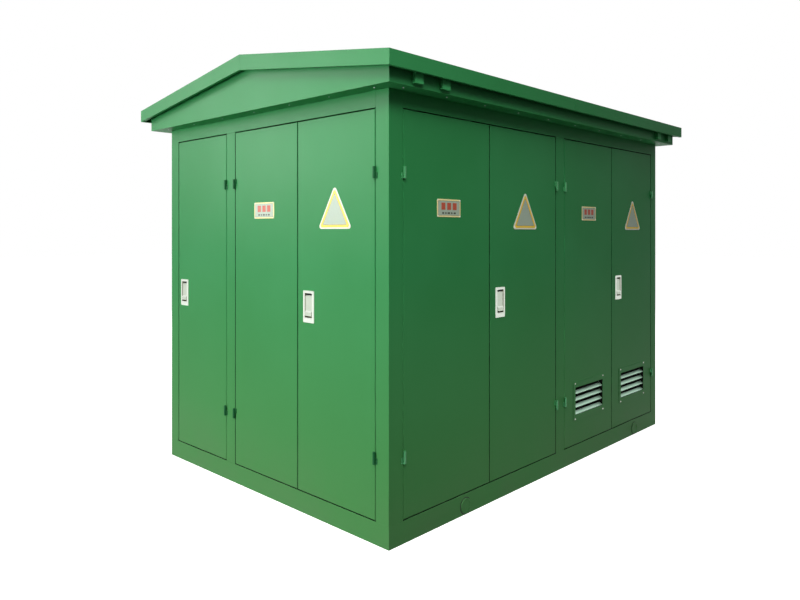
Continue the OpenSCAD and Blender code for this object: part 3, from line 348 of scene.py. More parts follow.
# The hinge and block greens are lighter, as painted highlight. The hinge shade, edge and gap greens are
# darker, as painted shade.
paint("hinge_green", (0.058, 0.32, 0.115), (0.074, 0.37, 0.14), gloss=0.26, specular=0.4)
paint("block_highlight_green", (0.046, 0.34, 0.105), (0.060, 0.38, 0.125))
paint("hinge_deep", (0.012, 0.095, 0.032), (0.020, 0.130, 0.046), gloss=0.4)
paint("edge_shade_green", (0.010, 0.052, 0.018), (0.014, 0.064, 0.024), gloss=0.6)
paint("gap_shade_dark", (0.004, 0.019, 0.007), (0.006, 0.024, 0.009), gloss=0.6)
print("Paints:", list(finishes))

# %% [markdown]
# The equipment inside shows when a door stands open: light powder paint with a fine texture, blue-grey
# tank paint and a trodden steel floor.

# %% Paints of the equipment
powder = {"grain": 900.0, "peel": 0.35, "specular": 0.4}
paint("gear_grey", (0.55, 0.57, 0.55), (0.60, 0.62, 0.60), gloss=0.5, dust=0.2, **powder)
paint("front_white", (0.68, 0.69, 0.66), (0.73, 0.74, 0.71), gloss=0.48, dust=0.1, **powder)
paint("tank_grey", (0.235, 0.275, 0.29), (0.29, 0.33, 0.34), gloss=0.42, specular=0.4, dust=0.6)
paint("floor_steel", (0.12, 0.13, 0.13), (0.17, 0.175, 0.17), grain=250.0, peel=0.4, gloss=0.6,
      specular=0.3, dust=0.8)
print(len(finishes), "paints")

# %% [markdown]
# Zinc has its spangle, from the cells of a Voronoi pattern. Bushings are glazed, cables have a ribbed
# black sheath, seals are matt rubber and busbars are bare copper with brown stains.

# %% Metals, glaze, rubber and plastic
def zinc_colour(tree, where):
    spangle = tree.node("ShaderNodeTexVoronoi", {"Vector": where, "Scale": 160.0})["Color"]
    grey = tree.node("ShaderNodeSeparateColor", {"Color": spangle})["Red"]
    return tree.mix(grey, rgb(0.50, 0.52, 0.55), rgb(0.66, 0.68, 0.70))


def sheath_lines(tree, where):
    rings = tree.node("ShaderNodeTexWave", {"Vector": where, "Scale": 55.0}, bands_direction="X")["Fac"]
    return rings, 0.2, 0.5 * mm


def copper_colour(tree, where):
    stain = tree.band(tree.noise(where, 18.0, 5.0, 0.65), 0.45, 0.7)
    return tree.mix(stain, rgb(0.72, 0.32, 0.17), rgb(0.30, 0.115, 0.06))


finish("zinc", zinc_colour, worn(0.34, 60.0, 3.0, 0.16), metallic=1.0)
finish("bushing_brown", clouded(30.0, 4.0, (0.13, 0.035, 0.016), (0.21, 0.062, 0.028)), plain(0.12),
       coat=0.5)
finish("cable_black", clouded(25.0, 3.0, (0.016, 0.016, 0.018), (0.034, 0.033, 0.034)),
       worn(0.5, 80.0, 2.0, 0.15), sheath_lines)
finish("seal_rubber", clouded(120.0, 3.0, (0.014, 0.014, 0.014), (0.032, 0.032, 0.031)), plain(0.85),
       grained(700.0, 3.0, 0.5, 0.6 * mm))
finish("copper", copper_colour, worn(0.25, 40.0, 4.0, 0.25), metallic=1.0)
finish("breaker_black", clouded(45.0, 4.0, (0.028, 0.030, 0.033), (0.046, 0.048, 0.052)), plain(0.5),
       grained(900.0, 2.0, 0.3, 0.4 * mm))
print(len(finishes), "finishes so far")

# %% [markdown]
# The locks are bright satin steel with fine upright streaks and a few finger marks. A noise stretched by
# a Mapping node gives the streaks. The same metal with a green cast is a painted highlight on the upper
# sides of the vents' blades, and the matt black of their throats is painted shade.

# %% Lock and blade metal
drawn_up = (900.0, 25.0)


def streaks(tree, where, sides, height):
    """A noise squeezed by one factor along both sides and by another along the height."""
    squeezed = tree.node("ShaderNodeMapping", {"Vector": where, "Scale": (sides, sides, height)})["Vector"]
    return tree.noise(squeezed, 1.0, 3.0)


def streaked(squeeze, low, high):
    return lambda tree, where: tree.mix(streaks(tree, where, *squeeze), rgb(*low), rgb(*high))


def lock_roughness(tree, where):
    return 0.26 + streaks(tree, where, *drawn_up) * 0.12 + tree.noise(where, 35.0, 4.0) * 0.1


# The blade metal goes only on the blades' upper sides, as a painted highlight.
for name, low, high in (("lock_metal", (0.73, 0.79, 0.69), (0.83, 0.88, 0.79)),
                        ("lever_metal", (0.52, 0.59, 0.48), (0.63, 0.69, 0.58)),
                        ("blade_highlight_metal", (0.48, 0.76, 0.58), (0.60, 0.88, 0.69))):
    finish(name, streaked(drawn_up, low, high), lock_roughness, metallic=0.7)
# Painted shade: black for the vents' throats and blade rears, and dark yellow-grey for the lock recesses.
finish("throat_shade_black", enamel((0.004, 0.005, 0.004), (0.008, 0.009, 0.008)), plain(0.8), specular=0.05)
finish("recess_shade_dark", enamel((0.27, 0.26, 0.15), (0.34, 0.33, 0.21)), plain(0.45), specular=0.2)
print("Finishes:", sorted(finishes))

# %% [markdown]
# Every CAD node names the finish that it wears. Nodes that no rounded copy replaces further down, such as
# the cabinets, the tank and the cables, show it on their own mesh.

# %% Finishes on the CAD nodes
parts = frame["record"]["subparts"]
for part in parts:
    mesh = nodes[part["node"]].data
    mesh.materials.clear()
    mesh.materials.append(finishes[part["material_slot"]])
print(len(parts), "nodes have their finish")

# %% [markdown]
# A few helpers make most of the hardware. One rounds an outline's corners, one skins a closed form
# through a stack of outlines, as a press would, and one makes the result a piece that rides on its
# body. They work on a bmesh, so that many small forms can share one piece.

# %% Outlines
def corner_ways(corners, i):
    """A corner of an outline, with the ways back and ahead along it."""
    here = Vector(corners[i])
    back = (Vector(corners[i - 1]) - here).normalized()
    ahead = (Vector(corners[(i + 1) % len(corners)]) - here).normalized()
    return here, back, ahead


def rounded(corners, radius, steps=5):
    """Points round a convex outline, its corners rounded."""
    points = []
    for i in range(len(corners)):
        here, back, ahead = corner_ways(corners, i)
        half = back.angle(ahead) / 2
        centre = here + (back + ahead).normalized() * radius / math.sin(half)
        first = here + back * radius / math.tan(half) - centre
        last = here + ahead * radius / math.tan(half) - centre
        turn = first.angle(last)
        for k in range(steps + 1):
            share = k / steps
            points.append(centre + (first * math.sin((1 - share) * turn) + last * math.sin(share * turn))
                          / math.sin(turn))
    return points


def inset(corners, distance):
    """A convex outline moved inwards all round."""
    moved = []
    for i in range(len(corners)):
        here, back, ahead = corner_ways(corners, i)
        moved.append(here + (back + ahead).normalized() * distance / math.sin(back.angle(ahead) / 2))
    return moved


def in_mm(*pairs):
    """Pairs of millimetres as metres."""
    return [(first * mm, second * mm) for first, second in pairs]


def circle(radius, count):
    turns = [2 * math.pi * i / count for i in range(count)]
    return [Vector((radius * math.cos(turn), radius * math.sin(turn))) for turn in turns]


def oblong(half_width, half_height):
    return [(-half_width, -half_height), (half_width, -half_height), (half_width, half_height),
            (-half_width, half_height)]


print("Outline helpers ready")

# %% Solid forms
def ring_of(shape, place, outline, height):
    """An outline's points, standing out of a wall by a height."""
    return [shape.verts.new(place @ Vector((point[0], -height, point[1]))) for point in outline]


def skin(shape, lower, upper, slot=0):
    """A band of faces between two rings of points."""
    for i in range(len(lower)):
        j = (i + 1) % len(lower)
        shape.faces.new((lower[i], lower[j], upper[j], upper[i])).material_index = slot


def stack(shape, place, loops, slots=None):
    """Skins a closed form through loops of (outline, height); slots are finishes of rings and end."""
    slots = slots or [0] * len(loops)
    rings = [ring_of(shape, place, outline, height) for outline, height in loops]
    shape.faces.new(list(reversed(rings[0])))
    for lower, upper, slot in zip(rings, rings[1:], slots):
        skin(shape, lower, upper, slot)
    shape.faces.new(rings[-1]).material_index = slots[-1]


def turned(shape, place, profile, count=18):
    """A turned form from (radius, height) pairs, standing out of its wall."""
    stack(shape, place, [(circle(radius, count), height) for radius, height in profile])


def box_on(shape, place, low, high, edge):
    """A block between two corners, its front outline rounded by edge."""
    corners = [(low[0], low[2]), (high[0], low[2]), (high[0], high[2]), (low[0], high[2])]
    stack(shape, place, [(rounded(corners, edge * 1.5), -high[1]),
                         (rounded(corners, edge * 1.5), -low[1] - edge),
                         (rounded(inset(corners, edge), edge * 0.6), -low[1])])


print("Form helpers ready")

# %% Pieces
crease = math.radians(20)
narrow_below = 2.5 * mm


def mesh_of(name, shape):
    """A bmesh as a mesh. The bmesh is used up."""
    mesh = bpy.data.meshes.new(name)
    shape.to_mesh(mesh)
    shape.free()
    return mesh


def piece(name, shape, body, slot, finish_names=None):
    """Makes a bmesh a piece on a body, faces outwards. Wide faces stay flat, narrow ones shade round."""
    bmesh.ops.recalc_face_normals(shape, faces=shape.faces)
    narrow = [face.calc_area() < narrow_below * face.calc_perimeter() for face in shape.faces]
    mesh = mesh_of(name, shape)
    if "custom_normal" in mesh.attributes:
        mesh.attributes.remove(mesh.attributes["custom_normal"])
    for finish_name in finish_names or [slot]:
        mesh.materials.append(finishes[finish_name])
    mesh.set_sharp_from_angle(angle=crease)
    mesh.polygons.foreach_set("use_smooth", narrow)
    made = shown(name, mesh)
    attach(made, body)
    return made


print("Pieces shade round below", narrow_below / mm, "mm")

# %% [markdown]
# Every wall has its own frame, as it is seen from outside: X to the right, Y into the wall and Z up.
# A door is found from its CAD node, so that its hardware sits on it whatever its width.

# %% Walls and doors
shift = Matrix.Translation
base_low, base_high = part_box("base_frame")
WALLS = {"front": (base_low.x, base_low.y, 0), "left": (base_low.x, base_high.y, -90),
         "back": (base_high.x, base_high.y, 180), "right": (base_high.x, base_low.y, 90)}
DOORS = {door: wall_name for doors, wall_name in (("abcd", "front"), ("123", "left"), ("efgh", "back"))
         for door in doors}


def turned_by(degrees, axis):
    return Matrix.Rotation(math.radians(degrees), 4, axis)


def on_wall(name):
    """The frame of a wall, at its left end on the ground."""
    x, y, turn = WALLS[name]
    return shift((x, y, 0)) @ turned_by(turn, "Z")


def seen_on(name, node):
    """A CAD node's box in a wall's frame."""
    back = on_wall(name).inverted()
    ends = [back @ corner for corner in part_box(node)]
    return [Vector([end_of(pair) for pair in zip(*ends)]) for end_of in (min, max)]


def middle_of(name, node):
    """The frame of a wall, moved to the middle of a node's face on it."""
    low, high = seen_on(name, node)
    return on_wall(name) @ shift(((low.x + high.x) / 2, 0, (low.z + high.z) / 2))


def on_leaf(door, height, out=0.0):
    """The frame of a door's wall, moved to the middle of its leaf at a height, and out from it."""
    low, high = seen_on(DOORS[door], "leaf_" + door)
    return on_wall(DOORS[door]) @ shift(((low.x + high.x) / 2, -out, height))


def outwards(place):
    """The direction out of a wall."""
    return place.to_3x3() @ Vector((0, -1, 0))


for door, wall_name in DOORS.items():
    low, high = seen_on(wall_name, "leaf_" + door)
    print("door", door, wall_name, round(high.x - low.x, 3), "wide")

# %% [markdown]
# A press brake never leaves a knife edge. The plain CAD sheets are copied, their loose triangles merged,
# and every long sharp edge gets a small round, which catches a thin line of light. A Bevel modifier
# would round the small holes too, so the edges are picked by length. The copy stands for its CAD node.

# %% Rounded folds
def merged_copy(node):
    """A CAD node's mesh as one clean skin with flat faces."""
    shape = bmesh.new()
    shape.from_mesh(nodes[node].data)
    bmesh.ops.remove_doubles(shape, verts=shape.verts, dist=0.02 * mm)
    bmesh.ops.dissolve_limit(shape, angle_limit=math.radians(0.5), verts=shape.verts, edges=shape.edges)
    return shape


def everything(shape):
    return shape.verts[:] + shape.edges[:] + shape.faces[:]


def round_edges(shape, radius, shortest):
    sharp = [edge for edge in shape.edges if len(edge.link_faces) == 2
             and edge.calc_face_angle() > math.radians(35) and edge.calc_length() > shortest]
    bmesh.ops.bevel(shape, geom=sharp, offset=radius, offset_type="OFFSET", segments=2, profile=0.5,
                    affect="EDGES", clamp_overlap=True)


def soften(node, body, slot, radius, shortest=8 * mm, names=None, pick=None, seam=None):
    """A rounded copy of a CAD node, which stands for it. pick gives a face its finish out of names."""
    shape = merged_copy(node)
    if seam:
        bmesh.ops.bisect_plane(shape, geom=everything(shape), plane_co=seam[0], plane_no=seam[1])
    shape.normal_update()
    for face in shape.faces:
        face.material_index = pick(face) if pick else 0
    round_edges(shape, radius, shortest)
    made = piece(node + "_folded", shape, body, slot, names)
    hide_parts(node)
    print(made.name, len(made.data.polygons), "faces")


def on_face(wall_name, face):
    """A face's middle and direction, in a wall's frame."""
    back = on_wall(wall_name).inverted()
    return back @ face.calc_center_median(), back.to_3x3() @ face.normal


print("Fold helpers ready")

# %% [markdown]
# Daylight never gets far into a narrow gap, so the faces in there get painted shade: darker paints than
# the sheets. Hinge halves and beam ends get painted highlight or painted shade as well. A function for each
# kind of sheet picks the finish by where a CAD face lies and which way it points.

# %% Frame and base
sheet_fold = 1.1 * mm
front_within_x, front_beyond_y = 1.49, 0.98
end_beyond_x, end_within_y = 1.44, 1.02
left_hinges_x = -1.46


def pick_post(face):
    """The reveals of the door openings, which get painted shade. Those that look to the left get the darkest
    painted shade.
    """
    middle, facing = face.calc_center_median(), face.normal
    x, y = abs(middle.x), abs(middle.y)
    in_front = abs(facing.x) > 0.6 and x < front_within_x and y > front_beyond_y
    if in_front and facing.x < 0:
        return 2
    at_end = abs(facing.y) > 0.6 and y < end_within_y and x > end_beyond_x
    return 1 if in_front or at_end else 0


# Header undersides and the base frame's top get painted shade, and the beams' ends a painted highlight.
frame_picks = {"roof_tray": None,
               "header_rails": lambda face: int(face.normal.z < -0.9),
               "base_frame": lambda face: int(face.normal.z > 0.9),
               "roof_beams": lambda face: 2 if abs(face.normal.y) > 0.9 else 0}
for node, pick in frame_picks.items():
    soften(node, "housing", "frame_green", sheet_fold,
           names=["frame_green", "edge_shade_green", "block_highlight_green"], pick=pick)
# Left-wall hinge halves get painted shade, and the others a painted highlight.
soften("hinge_frame_halves", "housing", "hinge_green", 0.6 * mm, names=["hinge_green", "hinge_deep"],
       pick=lambda face: int(face.calc_center_median().x < left_hinges_x))
soften("wall_posts", "housing", "frame_green", sheet_fold,
       names=["frame_green", "edge_shade_green", "gap_shade_dark"], pick=pick_post)

# %% Door leaves
leaf_fold = 1.2 * mm
leaf_edge = 150 * mm


def pick_leaf(wall_name, node):
    """Folded edges between leaf and frame, which get painted shade, and the proud hinge halves, which get a
    painted highlight or painted shade.
    """
    low, high = seen_on(wall_name, node)

    def pick(face):
        middle, facing = on_face(wall_name, face)
        if middle.y < -0.6 * mm:
            return 2
        rim = min(middle.x - low.x, high.x - middle.x, middle.z - low.z, high.z - middle.z)
        return 1 if abs(facing.y) < 0.8 and rim < 1 * mm else 0
    return pick


for door, wall_name in DOORS.items():
    # Leaf edges get painted shade. Hinge halves get painted shade on the left wall and a painted highlight
    # elsewhere.
    edge_and_hinge = ["edge_shade_green", "hinge_deep"] if wall_name == "left" else ["gap_shade_dark", "hinge_green"]
    soften("leaf_" + door, "door_" + door, "door_green", leaf_fold, leaf_edge,
           ["door_green"] + edge_and_hinge, pick_leaf(wall_name, "leaf_" + door))

# %% [markdown]
# A louvre is a pressed plate with slanted blades. Their outer parts get a painted highlight, and all behind
# them painted shade. The copy is cut by a plane 20 mm in, so that a blade can be bright before the plane and
# painted black behind it. The plate's edges get painted shade too. The two vents of the end wall are part
# of its fixed panels.

# %% Louvre vents
blade_depth = 20 * mm
blade_area = (0.0006, 0.02)
lower_edge_area, side_edge_area = 0.0008, 0.0003
end_vents = (394 * mm, 998 * mm)
vent_half_width, vent_half_height = 217 * mm, 127 * mm
vent_middle = middle_of("front", "vent_c").translation.z


def pick_vent(wall_name):
    """A painted highlight on the upper sides of the blades, and painted shade in the throat behind the plate
    and on the plate's edges.
    """
    def pick(face):
        middle, facing = on_face(wall_name, face)
        area = face.calc_area()
        on_blade = 0.5 < facing.z < 0.95 and middle.y < blade_depth
        on_lip = facing.y < -0.9 and abs(middle.y - 1 * mm) < 0.9 * mm
        if (on_blade or on_lip) and blade_area[0] < area < blade_area[1]:
            return 1
        if middle.y > 2.5 * mm:
            return 2
        on_edge = (facing.z < -0.9 and area > lower_edge_area
                   or abs(facing.x) > 0.9 and area > side_edge_area)
        return 3 if on_edge and middle.y > -2.5 * mm else 0
    return pick


def pick_panels(face):
    """The right wall's fixed panels: their edges, in painted shade, and their vents."""
    middle, facing = on_face("right", face)
    beside = min(abs(middle.x - u) for u in end_vents)
    if abs(middle.z - vent_middle) < vent_half_height and beside < vent_half_width:
        return (0, 1, 3, 2)[pick_vent("right")(face)]
    return 2 if abs(facing.y) < 0.3 else 0


for door in "cd":
    soften("vent_" + door, "door_" + door, "vent_green", 0.8 * mm,
           names=["vent_green", "blade_highlight_metal", "throat_shade_black", "gap_shade_dark"], pick=pick_vent("front"),
           seam=((0, base_low.y + blade_depth, 0), (0, 1, 0)))
soften("end_panels", "housing", "door_green", 0.8 * mm,
       names=["door_green", "blade_highlight_metal", "edge_shade_green", "throat_shade_black"], pick=pick_panels,
       seam=((base_high.x - blade_depth, 0, 0), (1, 0, 0)))

# %% [markdown]
# The upper roof is made of folded sheets, butted with a hair's gap. Their joints show as faint upright
# lines on the long fascia and under the ridge on each gable. The copy is cut into closed sheets before
# its edges are rounded, so that each joint is a real groove. The slopes wear a chalky paint, because a
# shiny one would mirror the lamps.

# %% Roof sheets
roof_joints = [-0.712, -0.015, 0.682]
half_gap = 0.4 * mm


def keep_between(shape, axis, low, high):
    """Cuts a closed form down to a slab along an axis and closes the cuts."""
    normal = Vector([1.0 if i == axis else 0.0 for i in range(3)])
    for place, side in ((low, -1), (high, 1)):
        if place is None:
            continue
        cut = bmesh.ops.bisect_plane(shape, geom=everything(shape), plane_co=normal * place,
                                     plane_no=normal * side, clear_outer=True)["geom_cut"]
        rim = [item for item in cut if isinstance(item, bmesh.types.BMEdge)]
        bmesh.ops.holes_fill(shape, edges=rim)


roof = bmesh.new()
edges_x = [None] + roof_joints + [None]
for first, last in zip(edges_x, edges_x[1:]):
    for low_y, high_y in ((None, -half_gap), (half_gap, None)):
        sheet = merged_copy("roof_cap")
        keep_between(sheet, 0, None if first is None else first + half_gap,
                     None if last is None else last - half_gap)
        keep_between(sheet, 1, low_y, high_y)
        round_edges(sheet, sheet_fold, 8 * mm)
        held = mesh_of("sheet", sheet)
        roof.from_mesh(held)
        bpy.data.meshes.remove(held)
roof.normal_update()
for face in roof.faces:
    face.material_index = int(face.normal.z > 0.9)
roof_sheets = piece("roof_sheets", roof, "housing", "frame_green", ["frame_green", "roof_green"])
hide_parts("roof_cap")
print("Roof sheets:", len(roof_sheets.data.polygons), "faces")

# %% [markdown]
# The locks are small and bright, so the eye goes to them first. Case and lever get rounded edges, the floor
# of the case's recess painted shade and the sloped top of the grip the brighter case metal as a painted
# highlight. In the slot above each lever sit a key barrel and a release button, turned from one profile,
# and below the grip a pressed scoop leads a finger behind it.

# %% Locks
LOCKS = [door for door in DOORS if "lock_case_" + door in nodes]
key_profile = in_mm((4.4, -20), (4.4, -0.6), (3.9, 0), (2.9, 0), (2.7, -1.2))
key_x, key_z = (-13 * mm, 14 * mm), 65 * mm
scoop = rounded(in_mm((-4.4, 0.1), (17, 0.1), (17, 3), (-1, 6.4), (-4.4, 5.8)), 0.7 * mm, 3)
scoop_tip = inset(scoop, 0.5 * mm)
scoop_z, scoop_side, scoop_end = -65 * mm, 29.3 * mm, 29.8 * mm


def pick_case(wall_name):
    """The floor of a case's recess, which gets painted shade."""
    return lambda face: int(on_face(wall_name, face)[0].y > 2 * mm)


def pick_grip_highlight(wall_name):
    """The sloped top of a lever's grip, which gets the brighter case metal as a painted highlight."""
    def pick(face):
        middle, facing = on_face(wall_name, face)
        return 1 if middle.y < -2.6 * mm and facing.z > 0.2 else 0
    return pick


for door in LOCKS:
    wall_name = DOORS[door]
    soften("lock_case_" + door, "door_" + door, "lock_metal", 1.4 * mm, 4 * mm,
           ["lock_metal", "recess_shade_dark"], pick_case(wall_name))
    soften("lock_lever_" + door, "lever_" + door, "lock_metal", 0.9 * mm, 4 * mm,
           ["lever_metal", "lock_metal"], pick_grip_highlight(wall_name))
    middle = middle_of(wall_name, "lock_case_" + door)
    keys, finger_scoop = bmesh.new(), bmesh.new()
    for x in key_x:
        turned(keys, middle @ shift((x, 0, key_z)), key_profile)
    piece("lock_keys_" + door, keys, "door_" + door, "breaker_black")
    across = middle @ shift((0, 0, scoop_z)) @ turned_by(90, "Z")
    stack(finger_scoop, across, [(scoop_tip, -scoop_end), (scoop, -scoop_side), (scoop, scoop_side),
                                 (scoop_tip, scoop_end)])
    piece("lock_scoop_" + door, finger_scoop, "door_" + door, "lock_metal")
print("Locks on doors", LOCKS)

# %% [markdown]
# Plates of thin enamelled metal mark the doors, some wide and some three-cornered. Each has a pale rim, a
# band and a silvery field, as rings of one pressed sheet, so no two layers can flicker through each
# other. The wide ones have raised red blocks over a row of dashes.

# %% Plate finishes
brushed = (60.0, 1500.0)
for name, colour, roughness in (
        ("plate_white", enamel((0.86, 0.83, 0.68), (0.92, 0.89, 0.76)), 0.35),
        ("plate_yellow", enamel((0.96, 0.64, 0.06), (0.99, 0.71, 0.09)), 0.35),
        ("plate_cream", enamel((0.95, 0.80, 0.36), (0.99, 0.86, 0.43)), 0.35),
        ("plate_line", enamel((0.05, 0.06, 0.04), (0.09, 0.10, 0.07)), 0.4),
        ("plate_silver", streaked(brushed, (0.36, 0.455, 0.35), (0.48, 0.575, 0.46)), 0.35),
        ("plate_red", enamel((0.47, 0.085, 0.045), (0.57, 0.11, 0.06)), 0.35)):
    finish(name, colour, plain(roughness), specular=0.1)
print(len(finishes), "finishes so far")

# %% Plates
plate_t = 1.6 * mm
mark_t = 0.5 * mm
wide_plate = oblong(95 * mm, 46.5 * mm)
corner_plate = in_mm((-131, -105), (131, -105), (0, 121))
wide_height, corner_height = 1.638, 1.635
WIDE, CORNER = "ac2", "bd3"


def plate(name, door, corners, height, rings, names):
    """A pressed plate with rings of finish from its rim inwards; rings are (inset, corner radius)."""
    place = on_leaf(door, height)
    rim_radius = rings[0][1]
    edge = rounded(corners, rim_radius)
    loops = [(edge, 0.0), (edge, plate_t * 0.6),
             (rounded(inset(corners, plate_t * 0.4), rim_radius), plate_t)]
    loops += [(rounded(inset(corners, distance), radius), plate_t) for distance, radius in rings[1:]]
    shape = bmesh.new()
    stack(shape, place, loops, [0, 0] + list(range(len(rings))))
    piece(name, shape, "door_" + door, "front_white", names)
    return place


def blocks_on(shape, place, blocks, near, far, edge):
    """Low raised blocks, given as (left, right, foot, top) in millimetres."""
    for left, right, foot, top in blocks:
        box_on(shape, place, (left * mm, near, foot * mm), (right * mm, far, top * mm), edge)


def marks(name, door, place, blocks, finish_name):
    """Raised blocks on a plate."""
    shape = bmesh.new()
    blocks_on(shape, place, blocks, -plate_t - mark_t, -plate_t, 0.3 * mm)
    piece(name + door, shape, "door_" + door, "front_white", [finish_name])


for door in WIDE:
    place = plate("wide_plate_" + door, door, wide_plate, wide_height,
                  in_mm((0, 5), (2, 4.5), (8, 2), (9.5, 1.5)),
                  ["plate_cream", "plate_cream", "plate_line", "plate_silver"])
    marks("plate_blocks_", door, place, [(x - 16, x + 16, -9, 28) for x in (-46, 0, 46)], "plate_red")
    marks("plate_dashes_", door, place,
          [(x - width / 2, x + width / 2, -30, -21)
           for x, width in ((-48, 16), (-26, 10), (-2, 20), (22, 12), (46, 18))], "plate_line")
for door in CORNER:
    plate("corner_plate_" + door, door, corner_plate, corner_height,
          in_mm((0, 14), (8, 9), (21, 4), (22.5, 3)),
          ["plate_white", "plate_yellow", "plate_line", "plate_silver"])
print("Plates on doors", list(WIDE), "and", list(CORNER))

# %% [markdown]
# Screws come in rows, so Geometry Nodes set them. The tree puts one screw of unit size on every point of
# a seed mesh, facing along that point's own direction, and sizes it by a named input. The result is
# given its finish and kept as a plain mesh.

# %% Geometry Nodes helpers
def new_tree(name, **inputs):
    """A Geometry Nodes tree with named inputs of some kinds, and their identifiers."""
    made = bpy.data.node_groups.new(name, "GeometryNodeTree")

    def socket(label, way, kind):
        return made.interface.new_socket(label, in_out=way, socket_type="NodeSocket" + kind).identifier

    socket("Geometry", "INPUT", "Geometry")
    keys = {label: socket(label, "INPUT", kind) for label, kind in inputs.items()}
    socket("Geometry", "OUTPUT", "Geometry")
    return Tree(made), keys


def end_tree(tree, solid, given):
    """Gives the geometry its finish and hands it out."""
    painted = tree.node("GeometryNodeSetMaterial",
                        {"Geometry": solid, "Material": given["Finish"]})["Geometry"]
    tree.node("NodeGroupOutput", {"Geometry": painted})


def grow(name, tree, keys, places, values, body, at=None):
    """Runs a tree on seed points, given as (point, direction), and keeps a plain mesh on a body."""
    seed = bpy.data.meshes.new(name)
    seed.from_pydata([point for point, facing in places], [], [])
    facing = seed.attributes.new("facing", "FLOAT_VECTOR", "POINT")
    for item, (point, direction) in zip(facing.data, places):
        item.vector = direction
    made = shown(name, seed)
    modifier = made.modifiers.new("grow", "NODES")
    modifier.node_group = tree.tree
    for label, value in values.items():
        modifier[keys[label]] = value
    bpy.context.view_layer.update()
    graph = bpy.context.evaluated_depsgraph_get()
    mesh = bpy.data.meshes.new_from_object(made.evaluated_get(graph))
    made.modifiers.clear()
    made.data = mesh
    if at:
        mesh.transform(at)
    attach(made, body)
    print(name, len(places), "places,", len(mesh.polygons), "faces")


print("Geometry Nodes helpers ready")

# %% The screw and its tree
upright = turned_by(-90, "X")


def pattern(name, shape):
    """Makes a bmesh an object that only serves to be repeated."""
    bmesh.ops.recalc_face_normals(shape, faces=shape.faces)
    return bpy.data.objects.new(name, mesh_of(name, shape))


screw_shape = bmesh.new()
turned(screw_shape, upright, [(1.35, -0.15), (1.35, 0.12), (1.25, 0.18), (1.0, 0.18), (0.98, 0.45),
                              (0.72, 0.68), (0.42, 0.70), (0.38, 0.35)], 12)
screw = pattern("screw", screw_shape)
row_tree, row_keys = new_tree("rows", Shape="Object", Size="Float", Finish="Material")
given = row_tree.node("NodeGroupInput")
row_shape = row_tree.node("GeometryNodeObjectInfo", {"Object": given["Shape"]})["Geometry"]
row_size = row_tree.node("ShaderNodeCombineXYZ", {axis: given["Size"] for axis in "XYZ"})["Vector"]
facing = row_tree.node("GeometryNodeInputNamedAttribute", {"Name": "facing"},
                       data_type="FLOAT_VECTOR")["Attribute"]
turn = row_tree.node("FunctionNodeAlignRotationToVector", {"Vector": facing}, axis="Z")["Rotation"]
placed = row_tree.node("GeometryNodeInstanceOnPoints", {
    "Points": given["Geometry"], "Instance": row_shape, "Rotation": turn, "Scale": row_size})["Instances"]
solid = row_tree.node("GeometryNodeRealizeInstances", {"Geometry": placed})["Geometry"]
end_tree(row_tree, solid, given)


def rows(name, shape, places, size, finish_name, body):
    """One shape on every place, at a size, with a finish."""
    grow(name, row_tree, row_keys, places,
         {"Shape": shape, "Size": size, "Finish": finishes[finish_name]}, body)


print("One screw has", len(screw.data.polygons), "faces")

# %% Vent screws
vent_screw_x, vent_screw_z = 190 * mm, 116 * mm
vent_screw_radius = 3.8 * mm
plate_face = -seen_on("front", "vent_c")[0].y


def vent_screws(name, middle, body):
    """A screw in each corner of a vent's plate."""
    places = [(middle @ Vector((x, -plate_face, z)), outwards(middle))
              for x in (-vent_screw_x, vent_screw_x) for z in (-vent_screw_z, vent_screw_z)]
    rows("vent_screws_" + name, screw, places, vent_screw_radius, "lock_metal", body)


for door in "cd":
    vent_screws(door, middle_of("front", "vent_" + door), "door_" + door)

# %% [markdown]
# The lower tray's soffit is screwed up from below, and the plates are held by tiny rivets in their
# corners. A thin rubber ring seals each lifting pin in its hole.

# %% Soffit screws and plate rivets
soffit_pitch = 0.33
end_share = 0.15
rivet_radius = 3.4 * mm
tray_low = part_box("roof_tray")[0]
over = base_low.x - tray_low.x
soffit = []
for wall_name in WALLS:
    wall = on_wall(wall_name)
    low, high = seen_on(wall_name, "base_frame")
    count = round((high.x - low.x) / soffit_pitch)
    for i in range(count + 1):
        share = (i + end_share) / (count + 2 * end_share)
        soffit.append((wall @ Vector((low.x + (high.x - low.x) * share, -over / 2, tray_low.z)),
                       Vector((0, 0, -1))))
rows("soffit_screws", screw, soffit, 3.2 * mm, "zinc", "housing")
for doors, corners, height, in_by in ((WIDE, wide_plate, wide_height, 5 * mm),
                                      (CORNER, corner_plate, corner_height, 12 * mm)):
    for door in doors:
        place = on_leaf(door, height, plate_t)
        rivets = [(place @ Vector((point.x, 0, point.y)), outwards(place)) for point in inset(corners, in_by)]
        rows("plate_rivets_" + door, screw, rivets, rivet_radius, "lock_metal", "door_" + door)

# %% Seals round the lifting pins
around = 40
pin_seals = bmesh.new()
for pin in ("front_left", "front_right", "back_left", "back_right"):
    wall_name = pin.split("_")[0]
    middle = middle_of(wall_name, "lifting_pin_" + pin)
    low, high = seen_on(wall_name, "lifting_pin_" + pin)
    inner = (high.z - low.z) / 2 + 0.5 * mm
    section = ((inner, 0.0), (inner, 1.0 * mm), (inner + 3.2 * mm, 1.0 * mm), (inner + 4.2 * mm, 0.0))
    rings = [ring_of(pin_seals, middle, circle(radius, around), height) for radius, height in section]
    for lower, upper in zip(rings, rings[1:] + rings[:1]):
        skin(pin_seals, lower, upper)
    print("Seal round", pin, round(inner / mm, 1), "mm")
piece("pin_seals", pin_seals, "housing", "seal_rubber")

# %% [markdown]
# Behind each louvre hangs a dust filter: a black fleece in a zinc frame, with a wire screen in front of
# it. Fleece and screen wear the black of the painted shade in the throat. The screen is a Geometry Nodes
# grid whose lines become wires. Its measures are inputs of the tree.

